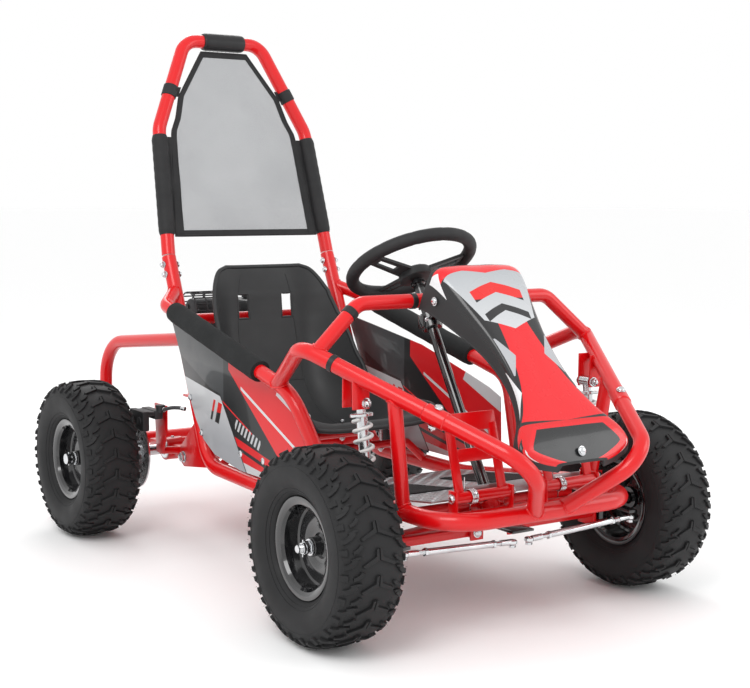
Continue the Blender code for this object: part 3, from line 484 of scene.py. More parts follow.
# ---------------------------------------------------------------------------
# Rear guard: a loop of tube behind the wheels that keeps them off whatever is behind.
shape = bmesh.new()
guard = [Vector((0.219, upright_y(0.459), 0.459)), Vector((0.240, 0.761, 0.415)),
    Vector((0.240, 0.761, 0.160))]
corners = [on_side(c, 1) for c in guard] + [on_side(c, -1) for c in reversed(guard)]
sweep(shape, bent(corners, (0.100, 0.070, 0.070, 0.100)), GUARD_R)
for side in (1, -1):
    ends = [on_side(c, side) for c in guard[:2]]
    weld(shape, ends[1], ends[0] - ends[1], GUARD_R, ends[0], (0, 0.4457, 1), HOOP_R)
finished("guard_loop", shape, "chassis", "red_powder_coat", red, replaces=["rear_guard"])

# ---------------------------------------------------------------------------
# Bumper: two legs bolted into the front rails' ends with a collar and a bolt each, bent back
# under the nose and welded to the bar that fills the front hoop.
shape = bmesh.new()
bar_x = 0.0835
rod(shape, (-bar_x, -0.668, 0.230), (bar_x, -0.668, 0.230), HOOP_R)
step = (NOSE_JOINT - RISER_TOP).normalized()
start = NOSE_JOINT + step * 0.0006
for side in (1, -1):
    leg = bent([on_side(c, side) for c in (start, NOSE_BEND, NOSE_FOOT)], (0.062,), 16)
    sweep(shape, leg, FRAME_R)
    lap = [on_side(start + step * reach, side) for reach in (0, 0.002, 0.043, 0.045)]
    sweep(shape, lap, [0.0155, FRAME_R + 0.002, FRAME_R + 0.002, 0.0155])
    weld(shape, leg[-2], leg[-1] - leg[-2], FRAME_R, (side * 0.032, -0.668, 0.230), (1, 0, 0), HOOP_R)
finished("bumper_tube", shape, "chassis", "red_powder_coat", red, replaces=["front_bumper"])

# ---------------------------------------------------------------------------
# Roll bar: a bent arch plugged into the seat's uprights and held there by two bolts a side.
roll_path = bent(
    [(0.218, roll_y(0.6485), 0.6485), (0.201, roll_y(0.945), 0.945), (0.102, roll_y(1.16), 1.16),
     (-0.102, roll_y(1.16), 1.16), (-0.201, roll_y(0.945), 0.945), (-0.218, roll_y(0.6485), 0.6485)],
    (0.08, 0.05, 0.05, 0.08),
)
shape = bmesh.new()
sweep(shape, roll_path, ROLL_R)
finished("roll_tube", shape, "chassis", "red_powder_coat", red, replaces=["roll_bar"])

# ---------------------------------------------------------------------------
# Tyres: 145/70-6 off-road tyres. The carcass is one smooth moulding; its tread is a pattern of
# shoulder blocks, crescents and a centre chevron that repeats 24 times, with moulding whiskers.
rubber = Finish("tyre_rubber", (0.016, 0.016, 0.017), 0.62, Specular_IOR_Level=0.30)
grain = rubber.noise(220, 3.0)
rubber.give({"Roughness": 0.50 + rubber.noise(26, 3.0) * 0.22})
rubber.give({"Base Color": rubber.mixed(rubber.noise(14, 4.0), (0.007, 0.007, 0.0075), (0.019, 0.019,
    0.020))})
rubber.bump(grain + rubber.noise(900, 1.0) * 0.5, 0.0003, 0.3)


def flowing(points, steps=6, closed=False):
    """A smooth line through a few points."""
    points = [Vector(p) for p in points]
    count = len(points)
    line = []
    for i in range(count if closed else count - 1):
        if closed:
            a, b, c, d = (points[(i + k) % count] for k in (-1, 0, 1, 2))
        else:
            b, c = points[i], points[i + 1]
            a = points[i - 1] if i else b * 2 - c
            d = points[i + 2] if i + 2 < count else c * 2 - b
        for k in range(steps):
            t = k / steps
            line.append(
                ((b * 2) + (c - a) * t + (a * 2 - b * 5 + c * 4 - d) * t**2 + (b * 3 - a - c * 3 + d)
                * t**3) / 2
            )
    return line if closed else line + [points[-1]]


def spun(shape, profile, centre, side=1, steps=72, axis=(1, 0, 0), paint=0):
    """A closed (along, radius) outline turned about a line through the centre, as on a lathe."""
    turn = Vector((0, 1, 0)).rotation_difference(Vector(axis) * side).to_matrix().to_4x4()
    place = Matrix.Translation(centre) @ turn
    rings = []
    for k in range(steps):
        round_way = math.tau * k / steps
        spokes = [Vector((r * math.sin(round_way), a, r * math.cos(round_way))) for a, r in profile]
        rings.append([shape.verts.new(place @ spot) for spot in spokes])
    for low, high in zip(rings, rings[1:] + rings[:1]):
        for a, b, c, d in zip(low, low[1:] + low[:1], high[1:] + high[:1], high):
            shape.faces.new((a, b, c, d)).material_index = paint


TYRE_R, TYRE_HALF_WIDTH, CROWN_R, PITCHES = 0.180, 0.0688, 0.1746, 24
half_carcass = flowing(
    [(0, CROWN_R), (0.026, 0.1738), (0.045, 0.1702), (0.0580, 0.1625), (0.0634, 0.152), (0.0652, 0.139),
     (0.0646, 0.126), (0.0615, 0.115), (0.0565, 0.1055), (0.0515, 0.0985), (0.0475, 0.0950), (0.0440,
     0.0935)], 5,
)


def tread_point(across, round_angle, height):
    """Where a spot of the tread lies: across along the carcass, round by an angle, and up from it."""
    left, reach = abs(across), 0
    for a, b in zip(half_carcass, half_carcass[1:]):
        step = (b - a).length
        if reach + step >= left:
            break
        reach += step
    spot = a.lerp(b, min(1, (left - reach) / step))
    out = Vector((a.y - b.y, b.x - a.x)).normalized()
    spot = spot + out * height
    side = 1 if across >= 0 else -1
    return Vector((spot.x * side, spot.y * math.sin(round_angle), spot.y * math.cos(round_angle)))


pitch = math.tau * CROWN_R / PITCHES
crescent = [
    (0.0665 + radius * math.cos(math.radians(angle)), 0.0515 + radius * math.sin(math.radians(angle)))
    for radius, angles in ((0.0310, (266, 250, 234, 218, 204)), (0.0215, (206, 220, 236, 252, 264)))
    for angle in angles
]
small_crescent = [
    (0.0520 + radius * math.cos(math.radians(angle)), 0.0400 + radius * math.sin(math.radians(angle)))
    for radius, angles in ((0.0270, (262, 244, 226, 208)), (0.0205, (210, 228, 246, 260)))
    for angle in angles
]
lugs = [
    [(0.0560, 0.0000), (0.0700, 0.0010), (0.0700, 0.0120), (0.0560, 0.0130)],
    crescent,
    [(x, t - 0.0115) for x, t in small_crescent],
    [(0.0500, 0.0360), (0.0530, 0.0400), (0.0420, 0.0440), (0.0330, 0.0440), (0.0360, 0.0400)],
]
chevron = [(0.0310, 0.0215), (0.0340, 0.0265), (0.0060, 0.0400), (0.0050, 0.0530), (0.0000, 0.0550), (0.0000,
    0.0340)]
flat = bmesh.new()
for side in (1, -1):
    for lug in lugs + [chevron]:
        drift = 0 if lug is chevron or side > 0 else pitch * 0.5
        foot = flat.faces.new([flat.verts.new((x * side, t + drift, -0.003)) for x, t in lug])
        grown = bmesh.ops.extrude_face_region(flat, geom=[foot])["geom"]
        top = [v for v in grown if isinstance(v, bmesh.types.BMVert)]
        roof = [f for f in grown if isinstance(f, bmesh.types.BMFace)]
        centre = sum((v.co for v in top), Vector()) / len(top)
        bmesh.ops.translate(flat, vec=(0, 0, 0.0080), verts=top)
        for vert in top:
            vert.co.xy = centre.xy + (vert.co.xy - centre.xy) * 0.93
        rim_edges = list({e for f in roof for e in f.edges})
        bmesh.ops.bevel(
            flat, geom=rim_edges, offset=0.0006, segments=1, affect="EDGES", profile=0.5, material=-1
        )
pattern = bpy.data.meshes.new("tread_pattern")
flat.to_mesh(pattern)
flat.free()

lug_ring = bmesh.new()
carcass = [(p.x, p.y) for p in half_carcass]
inner = [(0.0432, 0.0920), (0.0430, 0.0790), (0.0330, 0.0790), (0.0350, 0.0960), (0.0560, 0.1200), (0.0580,
    0.1450),
         (0.0400, 0.1620)]
outline = carcass + inner
outline += [(-x, r) for x, r in reversed(outline[1:])]
whisker_dice = random.Random(7)
for i in range(PITCHES):
    before = len(lug_ring.verts)
    lug_ring.from_mesh(pattern)
    lug_ring.verts.ensure_lookup_table()
    for vert in lug_ring.verts[before:]:
        across, round_way, height = vert.co
        vert.co = tread_point(across, (round_way + i * pitch) / CROWN_R, height)
for i in range(PITCHES):
    for side in (1, -1):
        for across, start in ((0.063, 0.006), (0.066, 0.023), (0.045, 0.030), (0.030, 0.010), (0.012, 0.044),
                (0.067, 0.040)):
            angle = (start + whisker_dice.uniform(-0.004, 0.004) + i * pitch) / CROWN_R
            across = side * (across + whisker_dice.uniform(-0.003, 0.003))
            foot, tip = tread_point(across, angle, 0.004), tread_point(across, angle, 0.0085)
            lean = (tip - foot).orthogonal().normalized() * 0.0004
            turned = lean.cross((tip - foot).normalized())
            base = [lug_ring.verts.new(foot + way) for way in (lean, turned, -lean, -turned)]
            top = lug_ring.verts.new(tip + lean * whisker_dice.uniform(-1, 1))
            lug_ring.faces.new(base)
            for a, b in zip(base, base[1:] + base[:1]):
                lug_ring.faces.new((b, a, top))
for vert in lug_ring.verts:
    reach = math.hypot(vert.co.y, vert.co.z)
    if reach > TYRE_R - 0.0001:
        vert.co.yz *= (TYRE_R - 0.0001) / reach
    vert.co.x = max(-TYRE_HALF_WIDTH, min(TYRE_HALF_WIDTH, vert.co.x))
lug_mesh = bpy.data.meshes.new("lugs")
lug_ring.to_mesh(lug_mesh)
lug_ring.free()
tread = bmesh.new()
tread.from_mesh(lug_mesh)
spun(tread, outline, (0, 0, 0), steps=96)
for r, x in ((0.1010, 0.0536), (0.1075, 0.0578), (0.1480, 0.0642)):
    for side in (1, -1):
        ring = [(x * side + 0.0007 * math.cos(a),
            r + 0.0007 * math.sin(a)) for a in [math.tau * k / 6 for k in range(6)]]
        spun(tread, ring, (0, 0, 0), steps=96)
tyre_mesh = bpy.data.meshes.new("tyre")
tread.to_mesh(tyre_mesh)
tread.free()

# ---------------------------------------------------------------------------
# Rims: pressed steel dishes in gloss black, with a welded hub tube, a valve stem, and on the
# stub or axle end a zinc-plated washer, castle nut and split pin.
gloss_black = Finish("gloss_black_paint", (0.008, 0.008, 0.009), 0.14, Coat_Weight=0.8, Coat_Roughness=0.05)
gloss_black.give({"Roughness": 0.10 + gloss_black.noise(30, 3.0) * 0.14})
gloss_black.bump(gloss_black.noise(300, 1.0), 0.0001, 0.12)
zinc = Finish("bright_zinc", (0.70, 0.71, 0.73), 0.2, 1.0)
zinc.give({"Roughness": 0.12 + zinc.noise(160, 3.0) * 0.2})
zinc.give({"Base Color": zinc.mixed(zinc.noise(40, 3.0), (0.52, 0.53, 0.55), (0.82, 0.83, 0.84))})
zinc.bump(zinc.noise(500, 2.0), 0.0001, 0.15)

lip = [(0.0476, 0.0898), (0.0472, 0.0918), (0.0455, 0.0922), (0.0440, 0.0905), (0.0437, 0.0835), (0.0420,
    0.0782),
       (0.0370, 0.0766)]
dish = [(0.0380, 0.0738), (0.0438, 0.0775), (0.0462, 0.0832)]
rim_outline = lip + [(-x, r) for x, r in reversed(lip)] + [(-x, r) for x, r in reversed(dish)]
rim_outline += [(0.0010, 0.0738), (0.0040, 0.0700), (0.0050, 0.0620), (0.0085, 0.0520), (0.0085, 0.0420),
    (0.0035, 0.0320),
                (0.0020, 0.0230), (-0.0060, 0.0220), (-0.0060, 0.0131), (0.0275, 0.0131), (0.0275, 0.0160),
                (0.0265, 0.0170),
                (0.0100, 0.0178), (0.0070, 0.0235), (0.0075, 0.0320), (0.0120, 0.0420), (0.0122, 0.0520),
                (0.0088, 0.0620),
                (0.0082, 0.0690), (0.0110, 0.0725)] + dish


def nut(shape, centre, heading, radius, height, bore=0.0, paint=0):
    """A hexagon nut or bolt head with its corners chamfered."""
    heading = Vector(heading).normalized()
    made = bmesh.ops.create_cone(shape, segments=6, radius1=radius, radius2=radius, depth=height,
        cap_ends=True)["verts"]
    faces = {f for v in made for f in v.link_faces}
    ends = [e for f in faces if len(f.verts) == 6 for e in f.edges]
    grown = bmesh.ops.bevel(
        shape, geom=ends, offset=radius * 0.10, segments=2, affect="EDGES", profile=0.5, material=-1
    )
    verts = {v for f in grown["faces"] for v in f.verts} | {v for v in made if v.is_valid}
    turn = heading.to_track_quat("Z", "Y").to_matrix().to_4x4()
    bmesh.ops.transform(shape, matrix=Matrix.Translation(centre) @ turn, verts=list(verts))
    for face in {f for v in verts for f in v.link_faces}:
        face.material_index = paint


def lathe(shape, profile, foot, heading, steps=28, paint=0):
    """A turned solid on an axis: (height, radius) from its foot to its tip, closed on the axis."""
    heading = Vector(heading).normalized()
    foot = Vector(foot)
    outline = [(profile[0][0], 0.00002)] + list(profile) + [(profile[-1][0], 0.00002)]
    spun(shape, outline, foot, steps=steps, axis=heading, paint=paint)


def wheel_end(name, side, hub_x, y, tip_x, bolt_r, body, z=0.180):
    """Washer, castle nut, split pin and the threaded end that stands out of it."""
    shape = bmesh.new()
    out = Vector((side, 0, 0))
    lathe(shape, [(0, 0.0150), (0.0022, 0.0150)], (side * hub_x, y, z), out)
    nut(shape, (side * (hub_x + 0.0076), y, z), out, bolt_r * 1.62, 0.0105)
    lathe(shape, [(0, bolt_r * 1.32), (0.0045, bolt_r * 1.32), (0.0050, bolt_r * 1.24)],
        (side * (hub_x + 0.0128), y, z), out)
    run = tip_x - hub_x
    threads = [(0.002 + k * 0.0008,
        bolt_r * (1.0 if k % 2 else 0.93)) for k in range(int((run - 0.004) / 0.0008))]
    lathe(shape, threads + [(run - 0.001, bolt_r * 0.93), (run, bolt_r * 0.75)], (side * hub_x, y, z), out,
        24)
    sweep(shape, [(side * (hub_x + 0.0155), y, z + d) for d in (-0.0155, 0, 0.0155)], 0.0011, 8)
    finished(name, shape, body, "bright_zinc", zinc)


wheels = [
    ("front_left", 1, 0.372, -0.495, "front_wheel_left", "knuckle_left", 0.4285, 0.0078),
    ("front_right", -1, 0.372, -0.495, "front_wheel_right", "knuckle_right", 0.4285, 0.0078),
    ("rear_left", 1, 0.406, 0.495, "rear_axle", "rear_axle", 0.4575, 0.0088),
    ("rear_right", -1, 0.406, 0.495, "rear_axle", "rear_axle", 0.4575, 0.0088),
]
for name, side, x, y, body, holder, tip_x, bolt_r in wheels:
    shape = bmesh.new()
    shape.from_mesh(tyre_mesh)
    spot = Matrix.Translation((side * x, y, 0.180)) @ Matrix.Rotation(0.13 * x * 100, 4, "X")
    bmesh.ops.transform(shape, matrix=spot @ Matrix.Diagonal((side, 1, 1, 1)), verts=shape.verts)
    finished(f"{name}_tyre", shape, body, "tyre_rubber", rubber, replaces=[f"tyre_{name}"], sharp=40)
    shape = bmesh.new()
    spun(shape, rim_outline, (side * x, y, 0.180), side, 96)
    valve = Vector((side * (x + 0.0090), y, 0.180)) + Vector((0, math.cos(2.2), math.sin(2.2))) * 0.0640
    lathe(shape, [(0, 0.0052), (0.003, 0.0052), (0.005, 0.0034), (0.017, 0.0032), (0.018, 0.0042), (0.027,
        0.0042),
                  (0.0285, 0.003)], valve, (side, 0, 0), 16)
    finished(f"{name}_rim", shape, body, "black_gloss_steel", gloss_black, replaces=[f"rim_{name}"], sharp=28)
    wheel_end(f"{name}_nut", side, x + 0.0285, y, tip_x, bolt_r, holder)


# ---------------------------------------------------------------------------
# Roll bar sleeves: black coated cloth wrapped round each leg, with a stitched flap that holds the
# screen's edge; two narrow straps hold its upper corners.
cloth = Finish("black_cloth", (0.014, 0.014, 0.015), 0.6, Specular_IOR_Level=0.35)
x, y, z = cloth.axes()
cloth.give({"Roughness": 0.48 + cloth.noise(40, 3.0) * 0.25})
cloth.give({"Base Color": cloth.mixed(cloth.noise(18, 3.0), (0.009, 0.009, 0.010), (0.022, 0.022, 0.023))})
cloth.bump((x * 2600).sine() * (z * 2600).sine() + cloth.noise(55, 3.0) * 3, 0.0005, 0.35)


def shell(shape, rows, thickness, skip=(), paint=0):
    """A sheet of this thickness through a grid of points, closed at its edges and at any skipped cell.

    Gives back how far across and down the grid each vertex is."""
    last, wide, made = len(rows) - 1, len(rows[0]) - 1, {}

    def corner(i, j, face):
        if (i, j, face) not in made:
            down = rows[min(i + 1, last)][j] - rows[max(i - 1, 0)][j]
            over = rows[i][min(j + 1, wide)] - rows[i][max(j - 1, 0)]
            made[i, j, face] = shape.verts.new(rows[i][j] + down.cross(over).normalized() * thickness / 2
                * face)
        return made[i, j, face]

    cells = {(i, j) for i in range(last) for j in range(wide)} - set(skip)
    for i, j in sorted(cells):
        ring = [(i, j), (i, j + 1), (i + 1, j + 1), (i + 1, j)]
        quads = [[corner(*c, 1) for c in ring], [corner(*c, -1) for c in reversed(ring)]]
        beyond = ((i - 1, j), (i, j + 1), (i + 1, j), (i, j - 1))
        for a, b, neighbour in zip(ring, ring[1:] + ring[:1], beyond):
            if neighbour not in cells:
                quads.append([corner(*b, 1), corner(*a, 1), corner(*a, -1), corner(*b, -1)])
        for quad in quads:
            shape.faces.new(quad).material_index = paint
    return {vert: (j / wide, i / last) for (i, j, face), vert in made.items()}


def leg_point(z, side, inward=0.0):
    """Where the roll bar's straight leg is at a height."""
    return Vector((side * (0.218 - 0.017 * (z - 0.645) / 0.3 - inward), roll_y(z), z))


SCREEN_EDGE = [(0.693, 0.193), (0.938, 0.168), (0.971, 0.152), (1.023, 0.137), (1.134, 0.062)]


def screen_half(z):
    for (low, a), (high, b) in zip(SCREEN_EDGE, SCREEN_EDGE[1:]):
        if z <= high:
            return a + (b - a) * (z - low) / (high - low)
    return b


def screen_spot(share, z):
    """A point of the screen, which bellies back a little between its edges."""
    rise = (z - 0.693) / 0.441
    belly = 0.0035 * (1 - share**2) * math.sin(math.pi * min(max(rise, 0), 1))
    return Vector((share * screen_half(z), roll_y(z) + belly, z))


for name, side in SIDES.items():
    shape = bmesh.new()
    heights = [0.695 + 0.233 * i / 40 for i in range(41)]
    radii = [0.0192 + 0.0003 * math.sin(i * 1.7) for i in range(41)]
    radii[0] = radii[-1] = 0.0166
    radii[1] = radii[-2] = 0.0184
    sweep(shape, [leg_point(z, side) for z in heights], radii, 32)
    rows = [[leg_point(z, side, inset) + Vector((0, 0.0006 * math.sin(z * 60), 0)) for inset in (0.014,
        0.026, 0.036, 0.044)]
            for z in [0.698 + 0.227 * i / 30 for i in range(31)]]
    shell(shape, rows, 0.0030)
    for inset in (0.0235, 0.0415):
        for i in range(44):
            z = 0.702 + 0.218 * i / 43
            stitch = [leg_point(z + d, side, inset) + Vector((0, -0.0018, 0)) for d in (-0.0015, 0.0015)]
            rod(shape, *stitch, 0.0004, 5)
    strap = [Vector((side * 0.1660, roll_y(1.021), 1.021)), Vector((side * 0.1543, roll_y(1.0465), 1.0465))]
    steps = [along(*strap, share) for share in (0, 0.04, 0.96, 1)]
    sweep(shape, steps, [0.0166, 0.0180, 0.0180, 0.0166], 32)
    tongue = [[along(*strap, share) - Vector((side * reach, 0, 0)) for reach in (0.012, 0.019, 0.026)]
              for share in (0.05, 0.5, 0.95)]
    shell(shape, tongue, 0.0026)
    sleeve = finished(f"leg_sleeve_{name}", shape, "chassis", "black_cloth", cloth,
        replaces=[f"roll_bar_sleeve_{name}"])

# ---------------------------------------------------------------------------
# Top pad: a foam roll under black vinyl round the bar's top, laced shut under it.
vinyl = Finish("black_vinyl", (0.011, 0.011, 0.012), 0.42, Specular_IOR_Level=0.4)
vinyl.give({"Roughness": 0.34 + vinyl.noise(30, 3.0) * 0.22})
vinyl.give({"Base Color": vinyl.mixed(vinyl.noise(12, 3.0), (0.008, 0.008, 0.009), (0.016, 0.016, 0.017))})
vinyl.bump(vinyl.noise(700, 2.0) + vinyl.noise(45, 3.0) * 2, 0.0005, 0.3)
shape = bmesh.new()
ends = [-1, -0.985, -0.95, -0.88] + [-0.8 + 0.1 * i for i in range(17)] + [0.88, 0.95, 0.985, 1]
radii = [0.0166 + 0.0047 * (1 - abs(s) ** 14) ** 0.5 + 0.0001 * math.sin(s * 40) for s in ends]
sweep(shape, [(0.0555 * s, roll_y(1.160), 1.160) for s in ends], radii, 36)
for i in range(9):
    spot = Vector((-0.044 + 0.011 * i, roll_y(1.160) + 0.004, 1.160 - 0.0206))
    rod(shape, spot - Vector((0.003, 0.004, 0)), spot + Vector((0.003, 0.004, 0)), 0.0008, 6)
pad = finished("top_roll", shape, "chassis", "black_cloth", vinyl, replaces=["roll_bar_top_pad"])

# ---------------------------------------------------------------------------
# Screen: light grey woven polyester mesh, stretched between the sleeves, with a black bound edge.
mesh_fabric = Finish("mesh_fabric", (0.42, 0.43, 0.44), 0.8, Specular_IOR_Level=0.2)
x, y, z = mesh_fabric.axes()
threads = abs((x * 1250).sine()).most(abs((z * 1250).sine()))
mesh_fabric.give({"Alpha": 0.42 + (threads > 0.72) * 0.58})
mesh_fabric.give({"Base Color": mesh_fabric.mixed(mesh_fabric.noise(7, 3.0), (0.34, 0.35, 0.36), (0.47, 0.48,
    0.49))})
mesh_fabric.give({"Roughness": 0.7 + mesh_fabric.noise(60) * 0.2})
mesh_fabric.bump(threads, 0.0003, 0.4)
heights = [0.693 + 0.441 * i / 48 for i in range(49)]
shares = [i / 14 - 1 for i in range(29)]
shape = bmesh.new()
shell(shape, [[screen_spot(share, z) for share in shares] for z in heights], 0.0008)
screen = finished("mesh_screen", shape, "chassis", "mesh_fabric", mesh_fabric, replaces=["roll_bar_screen"])
shape = bmesh.new()
edge = [screen_spot(1, z) for z in heights] + [screen_spot(1 - i / 6, 1.134) for i in range(1, 12)]
edge += [screen_spot(-1, z) for z in reversed(heights)] + [screen_spot(i / 12 - 1, 0.693) for i in range(1,
    24)]
sweep(shape, edge, 0.0026, 10, closed=True)
for side in (1, -1):
    rows = [[screen_spot(side * (1 - reach / screen_half(z)), z) for reach in (0, 0.006,
        0.012)] for z in heights]
    shell(shape, rows, 0.0026)
for z in (0.6995, 1.1275):
    shell(shape, [[screen_spot(share, z + d) for share in shares] for d in (-0.006, 0, 0.006)], 0.0026)
hem = finished("screen_binding", shape, "chassis", "black_cloth", cloth)
strips = [screen_half(z) * 2 * 0.441 / 48 for z in heights[1:]]

# ---------------------------------------------------------------------------
# Roll bar bolts: two zinc-plated through bolts with domed nuts hold each leg in its socket.
def bolt(shape, start, end, radius, domed=True):
    """A through bolt between two faces: shank, washers, a button head at the start and a nut at the end."""
    start, end = Vector(start), Vector(end)
    out = (end - start).normalized()
    rod(shape, start, end, radius, 16)
    washer = [(0, radius * 2.1), (radius * 0.35, radius * 2.1), (radius * 0.4, radius * 1.9)]
    lathe(shape, washer, start, -out, 24)
    lathe(shape, washer, end, out, 24)
    button = [(0, radius * 1.75), (radius * 0.5, radius * 1.7), (radius * 0.95, radius * 1.3),
        (radius * 1.15, radius * 0.7)]
    lathe(shape, button, start - out * radius * 0.38, -out, 24)
    nut(shape, end + out * radius * 0.9, out, radius * 1.75, radius * 1.2)
    tip = end + out * radius * 1.45
    crown = [(0, radius * 1.35), (radius * 0.4, radius * 1.3), (radius * 0.9, radius * 0.95), (radius * 1.15,
        radius * 0.4)]
    plain = [(0, radius), (radius * 0.7, radius), (radius * 0.9, radius * 0.75)]
    lathe(shape, crown if domed else plain, tip, out, 20)


shape = bmesh.new()
for side in (1, -1):
    for z in (0.627, 0.605):
        middle = Vector((side * 0.218, upright_y(z), z))
        out = Vector((side * HOOP_R, 0, 0))
        bolt(shape, middle - out, middle + out, 0.0040)
finished("roll_bar_bolts", shape, "chassis", "bright_zinc", zinc)

# ---------------------------------------------------------------------------
# Side pads: closed-cell foam tube slit along its length and pushed over the side rails.
foam = Finish("foam_cover", (0.020, 0.021, 0.022), 0.88, Specular_IOR_Level=0.2)
foam.give({"Roughness": 0.8 + foam.noise(90) * 0.15})
foam.give({"Base Color": foam.mixed(foam.noise(16, 4.0), (0.013, 0.014, 0.014), (0.028, 0.029, 0.030))})
foam.bump(foam.noise(1400, 1.0) + foam.noise(70, 3.0), 0.0006, 0.45)
for name, side in SIDES.items():
    shape = bmesh.new()
    shares = [0.085 + 0.69 * i / 46 for i in range(47)]
    radii = [0.0233 + 0.00022 * math.sin(i * 0.9) for i in range(47)]
    radii[0] = radii[-1] = 0.0170
    radii[1] = radii[-2] = 0.0224
    shares[1], shares[-2] = 0.0862, 0.7738
    sweep(shape, [on_side(along(RAIL_ELBOW, RAIL_FRONT, share), side) for share in shares], radii, 36)
    pad = finished(f"arm_pad_{name}", shape, "chassis", "foam_cover", foam, replaces=[f"side_pad_{name}"])

# ---------------------------------------------------------------------------
# Cable ties and tape: black bands that hold the wires on the dash tube and the right front rail.
shape = bmesh.new()
tie_leg = [on_side(DASH_FOOT, -1), on_side(DASH_CORNER, -1)]
bands = [
    (along(*tie_leg, 0.80), tie_leg[1] - tie_leg[0], FRAME_R - 0.001, 0.015),
    (Vector((-0.105, DASH_CORNER.y, DASH_CORNER.z)), Vector((1, 0, 0)), FRAME_R - 0.001, 0.012),
    (on_side(along(RISER_TOP, NOSE_JOINT, 0.27), -1), on_side(NOSE_JOINT - RISER_TOP, -1), FRAME_R, 0.011),
]
for middle, heading, tube_r, width in bands:
    heading = heading.normalized() * width / 2
    steps = [middle + heading * share for share in (-1, -0.85, 0.85, 1)]
    sweep(shape, steps, [tube_r + 0.0004, tube_r + 0.0014, tube_r + 0.0014, tube_r + 0.0004], 32)
finished("tape_bands", shape, "chassis", "black_cloth", vinyl)

# ---------------------------------------------------------------------------
# Bumper bolts: one through each collar, from above.
shape = bmesh.new()
for side in (1, -1):
    run = on_side(NOSE_JOINT - RISER_TOP, side).normalized()
    rise = (Vector((0, 0, 1)) - run * run.z).normalized() * (FRAME_R + 0.0018)
    middle = on_side(NOSE_JOINT, side) + run * 0.022
    bolt(shape, middle + rise, middle - rise, 0.0042)
finished("bumper_bolts", shape, "chassis", "bright_zinc", zinc)

# ---------------------------------------------------------------------------
# Floor plate: 3 mm aluminium tread plate on the floor rails, with a hole for the column's foot, two
# rubber grip pads and a folded kick strip at the front edge.
tread_plate = Finish("chequer_plate", (0.42, 0.43, 0.44), 0.36, 0.9)
tread_plate.give({"Roughness": 0.28 + tread_plate.noise(60, 4.0) * 0.28})
tread_plate.give({"Base Color": tread_plate.mixed(tread_plate.noise(9, 3.0), (0.34, 0.35, 0.36), (0.52, 0.53,
    0.54))})
tread_plate.bump(tread_plate.noise(500, 2.0), 0.0002, 0.2)
FLOOR_REAR, FLOOR_FRONT = (-0.125, floor_z(-0.125) + 0.008), (-0.585, floor_z(-0.470) + 0.0235)


def floor_spot(x, y, height=0.0):
    """A point above the underside of the sloping floor plate."""
    share = (y - FLOOR_REAR[0]) / (FLOOR_FRONT[0] - FLOOR_REAR[0])
    return Vector((x, y, FLOOR_REAR[1] + (FLOOR_FRONT[1] - FLOOR_REAR[1]) * share + height))


shape = bmesh.new()
hole_y = column_at(0.225).y
grid = [[floor_spot(x, y, 0.0015) for x in (-0.203, -0.032, 0.032, 0.203)]
        for y in (FLOOR_REAR[0], hole_y + 0.035, hole_y - 0.035, FLOOR_FRONT[0])]
shell(shape, grid, 0.003, skip=[(1, 1)])
lens_shape = [(-0.0068, 0), (-0.0032, -0.0019), (0.0032, -0.0019), (0.0068, 0), (0.0032, 0.0019), (-0.0032,
    0.0019)]
for i in range(21):
    for j in range(24):
        x, y = -0.190 + 0.019 * i, -0.572 + 0.019 * j
        if abs(x) < 0.042 and abs(y - hole_y) < 0.045:
            continue
        angle = math.radians(45 if (i + j) % 2 else -45)
        low, high = [], []
        for a, b in lens_shape:
            for ring, size, height in ((low, 1, 0.0028), (high, 0.62, 0.0041)):
                spin_x = (a * math.cos(angle) - b * math.sin(angle)) * size
                spin_y = (a * math.sin(angle) + b * math.cos(angle)) * size
                ring.append(shape.verts.new(floor_spot(x + spin_x, y + spin_y, height)))
        shape.faces.new(high)
        shape.faces.new(list(reversed(low)))
        for a, b, c, d in zip(low, low[1:] + low[:1], high[1:] + high[:1], high):
            shape.faces.new((a, b, c, d))
block(shape, (0.300, 0.0022, 0.020), (0, -0.5838, FLOOR_FRONT[1] + 0.012), bevel=0.0006)
finished("floor_sheet", shape, "chassis", "chequer_plate", tread_plate, replaces=["floor_plate"])
shape = bmesh.new()
for side in (1, -1):
    rows = [[floor_spot(side * x, y, 0.0050) for x in (0.050, 0.110, 0.170)] for y in (-0.270, -0.360,
        -0.450)]
    shell(shape, rows, 0.0018)
    for i in range(12):
        y = -0.278 - 0.0149 * i
        rod(shape, floor_spot(side * 0.056, y, 0.0058), floor_spot(side * 0.164, y, 0.0058), 0.0011, 8)
finished("grip_pads", shape, "chassis", "hose_rubber", rubber)

# ---------------------------------------------------------------------------
# Seat: a moulded plastic bucket with a rolled rim, side bolsters and two harness slots with lips.
plastic = Finish("moulded_plastic", (0.026, 0.027, 0.028), 0.48, Specular_IOR_Level=0.4)
plastic.give({"Roughness": 0.42 + plastic.noise(24, 3.0) * 0.18})
plastic.give({"Base Color": plastic.mixed(plastic.noise(8, 3.0), (0.020, 0.021, 0.022), (0.031, 0.032,
    0.033))})
plastic.bump(plastic.noise(900, 2.0), 0.0002, 0.30)
seat_profile = flowing([
    Vector(row) for row in (
        (-0.105, 0.300, 0.150, 0.012), (-0.085, 0.312, 0.165, 0.024), (0.000, 0.290, 0.175, 0.044),
        (0.100, 0.266, 0.180, 0.066), (0.190, 0.262, 0.180, 0.090), (0.268, 0.292, 0.178, 0.110),
        (0.320, 0.350, 0.175, 0.112), (0.350, 0.430, 0.172, 0.092), (0.366, 0.500, 0.165, 0.062),
        (0.374, 0.560, 0.152, 0.036), (0.381, 0.605, 0.128, 0.014), (0.384, 0.620, 0.100, 0.004),
    )
], 7)
back_rows = range(len(seat_profile) // 2, len(seat_profile))
